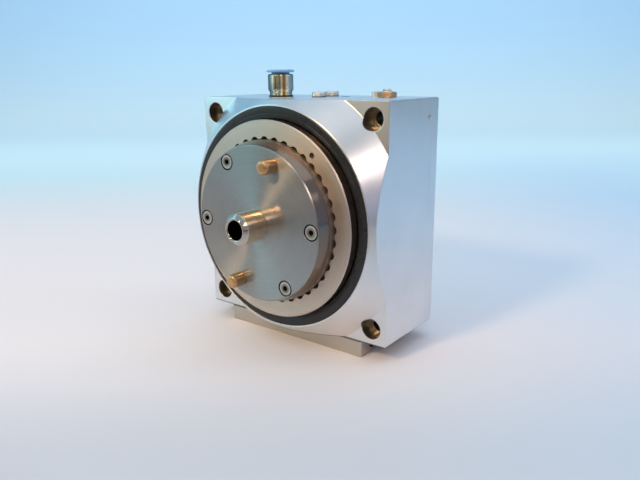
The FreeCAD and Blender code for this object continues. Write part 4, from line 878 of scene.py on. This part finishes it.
class MakeSpigot(Operator):
    """Make the hollow spigot and the two dowel pins."""

    bl_idname = "indexing_table.make_spigot"
    bl_label = "Spigot and dowel pins"

    def execute(self, context):
        size = context.scene.table_sizes
        tip, seat = before_plate("centring_spigot")
        radius, shank, bore = size.spigot_radius, size.spigot_shank, size.spigot_bore
        chamfer, bore_edge = size.spigot_chamfer, 0.0004
        ring = eased_loop(
            size.edge_round, (bore, seat), (shank, seat), (shank, SEAT_GAP), (radius, SEAT_GAP),
            (radius, tip - chamfer), (radius - chamfer, tip), (bore + bore_edge, tip),
            (bore, tip - bore_edge))
        spigot = piece_of("spigot_turned", turned(ring, ADAPTER_MIDDLE, FORWARD, closed=True))
        dress(spigot, "ground_spigot", "turntable", "ground_steel", "centring_spigot")
        tip, seat = before_plate("dowel_pins")
        radius, shank, rounding = size.pin_radius, size.pin_shank, size.pin_round
        shoulder = 0.3 * rounding
        pin = eased(rows(
            (0.0, seat), (shank, seat), (shank, SEAT_GAP), (radius, SEAT_GAP),
            (radius, tip - rounding), (radius - shoulder, tip - shoulder),
            (radius - rounding, tip), (0.0, tip)), PIN_EDGE)
        places = [on_disc(size.pin_circle, angle, ADAPTER_FACE) for angle in PIN_ANGLES]
        pins = piece_of("dowel_pins_turned", *(
            turned(pin, place, FORWARD, PIN_COLUMNS) for place in places))
        dress(pins, "bronze", "turntable", "bronze", "dowel_pins")
        return {"FINISHED"}


class MakeAdapterScrews(Operator):
    """Make the four countersunk screws of the adapter plate."""

    bl_idname = "indexing_table.make_adapter_screws"
    bl_label = "Adapter screws"

    def execute(self, context):
        size = context.scene.table_sizes
        low, high = box("adapter_screws")
        end = low[1] - high[1]
        head, shank, half, rim = size.sunk_head, size.sunk_shank, size.sunk_socket / 2, 0.0006
        outside = eased(rows(
            (0.0, end), (shank, end), (shank, -(head - shank) - rim), (head, -rim),
            (head - 0.0002, -0.0002), (head - 0.0004, 0.0), (half * 1.35, 0.0)), CRISP_EDGE)
        socket = hexagon_socket(half, top=0.0, lead=0.00012, depth=0.0013, tip=0.0017)
        screw = np.concatenate([outside, socket])
        places = [on_disc(size.sunk_circle, angle, low[1]) for angle in SUNK_ANGLES]
        screws = piece_of("adapter_screws_turned", *(
            turned(screw, place, FORWARD, SCREW_COLUMNS) for place in places))
        dress(screws, "sunk_screw_steel", "turntable", "screw_steel", "adapter_screws")
        return {"FINISHED"}


class MakeFitting(Operator):
    """Make the push-in fitting, its washer and its release collar."""

    bl_idname = "indexing_table.make_fitting"
    bl_label = "Air fitting"

    def execute(self, context):
        size = context.scene.table_sizes
        centre = on_top("fitting_body")
        thread, washer_top = size.fitting_thread, size.fitting_washer
        bottom, top = over_top("fitting_body")
        neck, neck_top, outer = size.fitting_neck, size.neck_top, size.fitting_body
        cavity, cavity_floor = size.fitting_cavity, top - size.cavity_depth
        tube, floor, way, chamfer = size.tube_radius, -size.socket_floor, size.way_radius, 0.0005
        ring = eased_loop(
            size.edge_round, (way, bottom), (thread, bottom), (thread, washer_top),
            (neck, washer_top), (neck, neck_top - 0.0003), (neck + 0.0002, neck_top),
            (outer, neck_top + 0.0006), (outer, top - chamfer), (outer - chamfer, top),
            (cavity, top), (cavity, cavity_floor), (tube, cavity_floor), (tube, floor),
            (way, floor))
        body = piece_of("fitting_turned", turned(ring, centre, UPWARD, closed=True))
        dress(body, "nickelled_brass", "body", "nickel_brass", "fitting_body")
        outer, inner, bulge = half_width("fitting_seal"), thread + HAIR, 0.0003
        ring = eased_loop(
            CRISP_EDGE, (inner, 0.0), (outer - bulge, 0.0), (outer, HAIR),
            (outer, washer_top - HAIR), (outer - bulge, washer_top), (inner, washer_top))
        washer = piece_of("fitting_washer", turned(ring, centre, UPWARD, closed=True))
        dress(washer, "seal_rubber", "body", "black_rubber", "fitting_seal")
        bottom, top = over_top("release_collar")
        outer, inner, skirt = half_width("release_collar"), tube + HAIR, size.collar_skirt
        flange = top - size.collar_flange
        ring = eased_loop(
            size.edge_round, (inner, bottom), (skirt, bottom), (skirt, flange),
            (outer - 0.0002, flange), (outer, flange + 0.0003), (outer, top - 0.0004),
            (outer - 0.0008, top), (inner + 0.0006, top), (inner, top - 0.0007))
        collar = piece_of("collar_turned", turned(ring, centre, UPWARD, closed=True))
        dress(collar, "blue_plastic", "collar", "blue_collar", "release_collar")
        return {"FINISHED"}


def make_plugs(size):
    """Two plugs with round heads and hexagon sockets."""
    bottom, top = over_top("channel_plugs")
    head, thread, seal = size.plug_head, size.plug_thread, size.plug_seal
    half, chamfer = size.plug_socket / 2, 0.0004
    outside = eased(rows(
        (0.0, bottom), (thread, bottom), (thread, seal), (head, seal), (head, top - chamfer),
        (head - chamfer, top), (half * 1.3, top)), size.edge_round)
    plug = np.concatenate([outside, hexagon_socket(half, top, lead=HAIR, depth=0.0016, tip=0.002)])
    low, high = box("channel_plugs")
    left, front = low[:2] + head
    right, back = high[:2] - head
    places = ((right, front, TOP_FACE), (left, back, TOP_FACE))
    plugs = piece_of("channel_plugs_turned", *(
        turned(plug, place, UPWARD, SCREW_COLUMNS) for place in places))
    dress(plugs, "screw_steel", "body", "screw_steel", "channel_plugs")


def make_stop_screw(size):
    """Threaded stop screw with a socket."""
    bottom, top = over_top("stop_screw")
    radius, half = size.stop_radius, size.sunk_socket / 2
    pitch, depth = size.thread_pitch, size.thread_depth
    core, rows_per_pitch = radius - depth, 10
    start, end = bottom + 0.0008, top - 0.0005
    heights = np.linspace(start, end, int(round((end - start) / pitch * rows_per_pitch)))
    screw = np.concatenate([
        rows((0.0, bottom), (radius - 0.0006, bottom), (core, bottom + 0.0004)),
        rows(*np.stack([np.full_like(heights, radius), heights], axis=1), thread=1.0),
        rows((core, top - 0.00025), (radius - 0.0005, top), (half * 1.25, top)),
        hexagon_socket(half, top, lead=HAIR, depth=0.0016, tip=0.002),
    ])
    stop = piece_of("stop_screw_threaded", turned(
        screw, on_top("stop_screw"), UPWARD, SCREW_COLUMNS, pitch=pitch, depth=depth))
    dress(stop, "screw_steel", "stop", "screw_steel", "stop_screw")


def make_lock_nut(size):
    """Chamfered hexagon nut on the stop screw."""
    across, hole, chamfer = size.nut_across, size.stop_radius + 0.00005, 0.0003
    flat, corner = across / 2 - HAIR, across / math.sqrt(3) + HAIR
    height = over_top("stop_lock_nut")[1]
    loop = rows(
        (hole + chamfer, 0.0), (flat, 0.0), (corner, chamfer), (corner, height - 0.0004),
        (flat, height), (hole + chamfer, height), (hole, height - chamfer), (hole, chamfer))
    surface = turned(loop, on_top("stop_screw"), UPWARD, NUT_COLUMNS, closed=True, across=across)
    nut = piece_of("lock_nut_hexagon", surface, smooth_angle=25.0)
    dress(nut, "yellow_nut", "body", "yellow_nut", "stop_lock_nut")


def make_set_screw(size):
    """Small set screw with a cupped socket in the right side."""
    low, high = box("side_set_screw")
    centre = (low[0], (low[1] + high[1]) / 2, (low[2] + high[2]) / 2)
    top, radius, half, chamfer = high[0] - low[0], size.set_screw, size.set_screw / 2, 0.0002
    outside = eased(rows(
        (0.0, 0.0), (radius, 0.0), (radius, top - chamfer), (radius - chamfer, top),
        (half * 1.3, top)), HAIR)
    screw = np.concatenate([outside, hexagon_socket(half, top, lead=HAIR, depth=0.001, tip=0.0013)])
    placed = piece_of("side_set_screw_turned", turned(screw, centre, RIGHTWARD, SET_SCREW_COLUMNS))
    dress(placed, "screw_steel", "body", "screw_steel", "side_set_screw")


class MakeTopScrews(Operator):
    """Make the channel plugs, the stop screw with its lock nut and the side set screw."""

    bl_idname = "indexing_table.make_top_screws"
    bl_label = "Plugs, stop screw and set screw"

    def execute(self, context):
        size = context.scene.table_sizes
        make_plugs(size)
        make_stop_screw(size)
        make_lock_nut(size)
        make_set_screw(size)
        return {"FINISHED"}


class MakeSpring(Operator):
    """Make the lock bolt's return spring as a fixed coil; the real spring shortens as the bolt
    rises.
    """

    bl_idname = "indexing_table.make_spring"
    bl_label = "Return spring"

    def execute(self, context):
        size = context.scene.table_sizes
        low, high = (corner.tolist() for corner in box("lock_spring"))
        middle = [(low[0] + high[0]) / 2, (low[1] + high[1]) / 2]
        wire = size.spring_wire
        radius = (high[0] - low[0]) / 2 - wire
        spring = piece_of("lock_spring_coil", coil(
            middle, radius, wire, low[2] + wire, high[2] - wire, size.spring_turns))
        dress(spring, "hardened_steel", "body", "hardened_steel", "lock_spring")
        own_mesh(spring)
        return {"FINISHED"}


def make_floor(stage):
    """Floor that curves up into a backdrop square to the camera: a quarter arc joins the
    two. A point at a side s, a distance d behind the origin and a height h is
    (s cos a - d sin a, s sin a + d cos a, h), where a is the camera's azimuth."""
    arc = np.linspace(0, np.pi / 2, 32)
    wall = [SWEEP_START + SWEEP_ARC] * len(SWEEP_TOPS)
    depth = np.concatenate([SWEEP_FRONT, SWEEP_START + SWEEP_ARC * np.sin(arc), wall])
    front = [0.0] * len(SWEEP_FRONT)
    height = np.concatenate([front, SWEEP_ARC - SWEEP_ARC * np.cos(arc), SWEEP_TOPS])
    width = np.linspace(-SWEEP_HALF_WIDTH, SWEEP_HALF_WIDTH, 9)
    side, row = np.meshgrid(width, np.arange(len(depth)))
    turn = math.radians(CAMERA_AZIMUTH)
    points = np.stack([side * math.cos(turn) - depth[row] * math.sin(turn),
                       side * math.sin(turn) + depth[row] * math.cos(turn), height[row]], axis=-1)
    across = len(width)
    corner = (np.arange(len(depth) - 1)[:, None] * across + np.arange(across - 1)[None]).reshape(-1)
    faces = np.stack([corner, corner + 1, corner + across + 1, corner + across], axis=-1).tolist()
    floor = piece_of("floor", (points.reshape(-1, 3), faces), smooth_angle=60.0)
    make_paper(stage, turn)
    floor.data.materials.append(bpy.data.materials["paper_sweep"])


def make_paper(stage, turn):
    """Paper whose tone changes with the distance from the camera, on the right of the block
    and in front of the table; the bluer tone on the right of the block is painted cool light.
    What lies behind the camera shows as pale as the rest."""
    tree, shader = material("paper_sweep", Roughness=0.85, Specular_IOR_Level=0.2)
    x, y, _ = parts_of(tree, (0.0, 0.0, 0.0))
    cosine, sine = math.cos(turn), math.sin(turn)
    away = maths("SUBTRACT", times(y, cosine), times(x, sine))
    aside = maths("ADD", times(x, cosine), times(y, sine))
    ahead = maths("SUBTRACT", x, times(y, 0.85))
    shades = ramp(past(away, *FLOOR_SPAN), (
        (0.0, stage.floor_behind), (0.05, stage.floor_near), (0.11, stage.floor),
        (0.20, stage.floor), (0.42, stage.floor_far), (0.72, stage.haze),
        (1.0, stage.backdrop)), "EASE")
    # The bluer tone on the right of the block is painted cool light.
    right = times(ranged(aside, 0.0, 0.8, *RIGHT_SIDE), until(away, *RIGHT_END))
    shades = blend(right, shades, stage.floor_right_cool_light)
    front = times(until(y, *FRONT_SIDE), past(ahead, *FRONT_START))
    shades = blend(front, shades, stage.floor_front)
    left = times(until(y, *LEFT_SIDE), until(ahead, *LEFT_END))
    shades = blend(left, shades, stage.floor)
    seen = add(tree, "LightPath").outputs["Is Camera Ray"]
    pale = times(seen, until(away, *BEHIND_CAMERA))
    feed(shader, Base_Color=blend(pale, shades, stage.floor))


def place_lights(stage):
    """Warm light in front and above, white light by the camera, cool lights on the left, a
    small light far right and soft lights over the floor and the backdrop."""
    for name, place, size, power_key, tone, target in LAMPS:
        light = bpy.data.lights.new(name, "AREA")
        light.shape = "RECTANGLE"
        light.size, light.size_y = size
        light.energy = getattr(stage, power_key)
        light.color = tone
        lamp = bpy.data.objects.new(name, light)
        aim = Vector(target) - Vector(place)
        turn = aim.to_track_quat("-Z", "Y").to_matrix().to_4x4()
        lamp.matrix_world = Matrix.Translation(place) @ turn
        bpy.context.scene.collection.objects.link(lamp)


def place_camera(stage):
    """Camera from the right and above, at the measured place and turn."""
    azimuth, elevation, roll = map(math.radians, (CAMERA_AZIMUTH, CAMERA_ELEVATION, CAMERA_ROLL))
    back = Vector((math.sin(azimuth) * math.cos(elevation),
                   -math.cos(azimuth) * math.cos(elevation), math.sin(elevation)))
    right = Vector((math.cos(azimuth), math.sin(azimuth), 0))
    up = back.cross(right)
    rolled_right = right * math.cos(roll) + up * math.sin(roll)
    rolled_up = up * math.cos(roll) - right * math.sin(roll)
    view = bpy.data.cameras.new("camera")
    view.lens = stage.lens
    view.sensor_width = SENSOR_WIDTH
    camera = bpy.data.objects.new("camera", view)
    matrix = Matrix((rolled_right, rolled_up, back)).transposed().to_4x4()
    matrix.translation = CAMERA_PLACE
    camera.matrix_world = matrix
    bpy.context.scene.collection.objects.link(camera)
    bpy.context.scene.camera = camera


def light_room(scene, stage):
    """Light of the room: cool on the left, dark and warm in front, pale above. The room
    itself shows as one pale tone."""
    world = bpy.data.worlds.new("studio")
    world.use_nodes = True
    tree = world.node_tree
    parts = add(tree, "SeparateXYZ", Vector=add(tree, "TexCoord").outputs["Generated"])
    light = ramp(past(parts.outputs["X"], -1.0, 1.0), (
        (0.0, stage.room_left), (0.17, stage.room_left), (0.23, stage.room_front),
        (0.70, stage.room_front), (1.0, stage.room_right)), "EASE")
    light = blend(past(parts.outputs["Z"], *ROOM_ABOVE), light, stage.room_above)
    seen = add(tree, "LightPath").outputs["Is Camera Ray"]
    feed(tree.nodes["Background"], Color=blend(seen, light, stage.room_seen),
         Strength=stage.room_strength)
    scene.world = world


class SetStage(Operator):
    """Set up the floor, backdrop, lights and camera."""

    bl_idname = "indexing_table.set_stage"
    bl_label = "Stage"

    def execute(self, context):
        stage = context.scene.table_stage
        make_floor(stage)
        place_lights(stage)
        place_camera(stage)
        light_room(context.scene, stage)
        context.scene.view_settings.view_transform = "Standard"
        return {"FINISHED"}


STEPS = (MakeFinishes, CoatFrame, MakeSeal, MakeSpigot, MakeAdapterScrews, MakeFitting,
         MakeTopScrews, MakeSpring, SetStage)


class TablePanel(Panel):
    """Lists the settings and the steps."""

    bl_idname = "VIEW3D_PT_indexing_table"
    bl_label = "Indexing table"
    bl_space_type = "VIEW_3D"
    bl_region_type = "UI"
    bl_category = "Indexing table"

    def draw(self, context):
        scene = context.scene
        for group in (scene.table_sizes, scene.table_finish, scene.table_stage):
            for name in group.__annotations__:
                self.layout.prop(group, name)
        for step in STEPS:
            self.layout.operator(step.bl_idname)


CLASSES = (TableSizes, TableFinish, TableStage, *STEPS, TablePanel)


def register():
    """Register the classes and hang the settings on the scene."""
    for item in CLASSES:
        bpy.utils.register_class(item)
    bpy.types.Scene.table_sizes = PointerProperty(type=TableSizes)
    bpy.types.Scene.table_finish = PointerProperty(type=TableFinish)
    bpy.types.Scene.table_stage = PointerProperty(type=TableStage)


def unregister():
    """Take the settings and classes away again."""
    del bpy.types.Scene.table_stage
    del bpy.types.Scene.table_finish
    del bpy.types.Scene.table_sizes
    for item in reversed(CLASSES):
        bpy.utils.unregister_class(item)


def main():
    """Run every step."""
    register()
    bpy.ops.indexing_table.make_finishes()
    bpy.ops.indexing_table.coat_frame()
    bpy.ops.indexing_table.make_seal()
    bpy.ops.indexing_table.make_spigot()
    bpy.ops.indexing_table.make_adapter_screws()
    bpy.ops.indexing_table.make_fitting()
    bpy.ops.indexing_table.make_top_screws()
    bpy.ops.indexing_table.make_spring()
    bpy.ops.indexing_table.set_stage()


if __name__ == "__main__":
    main()
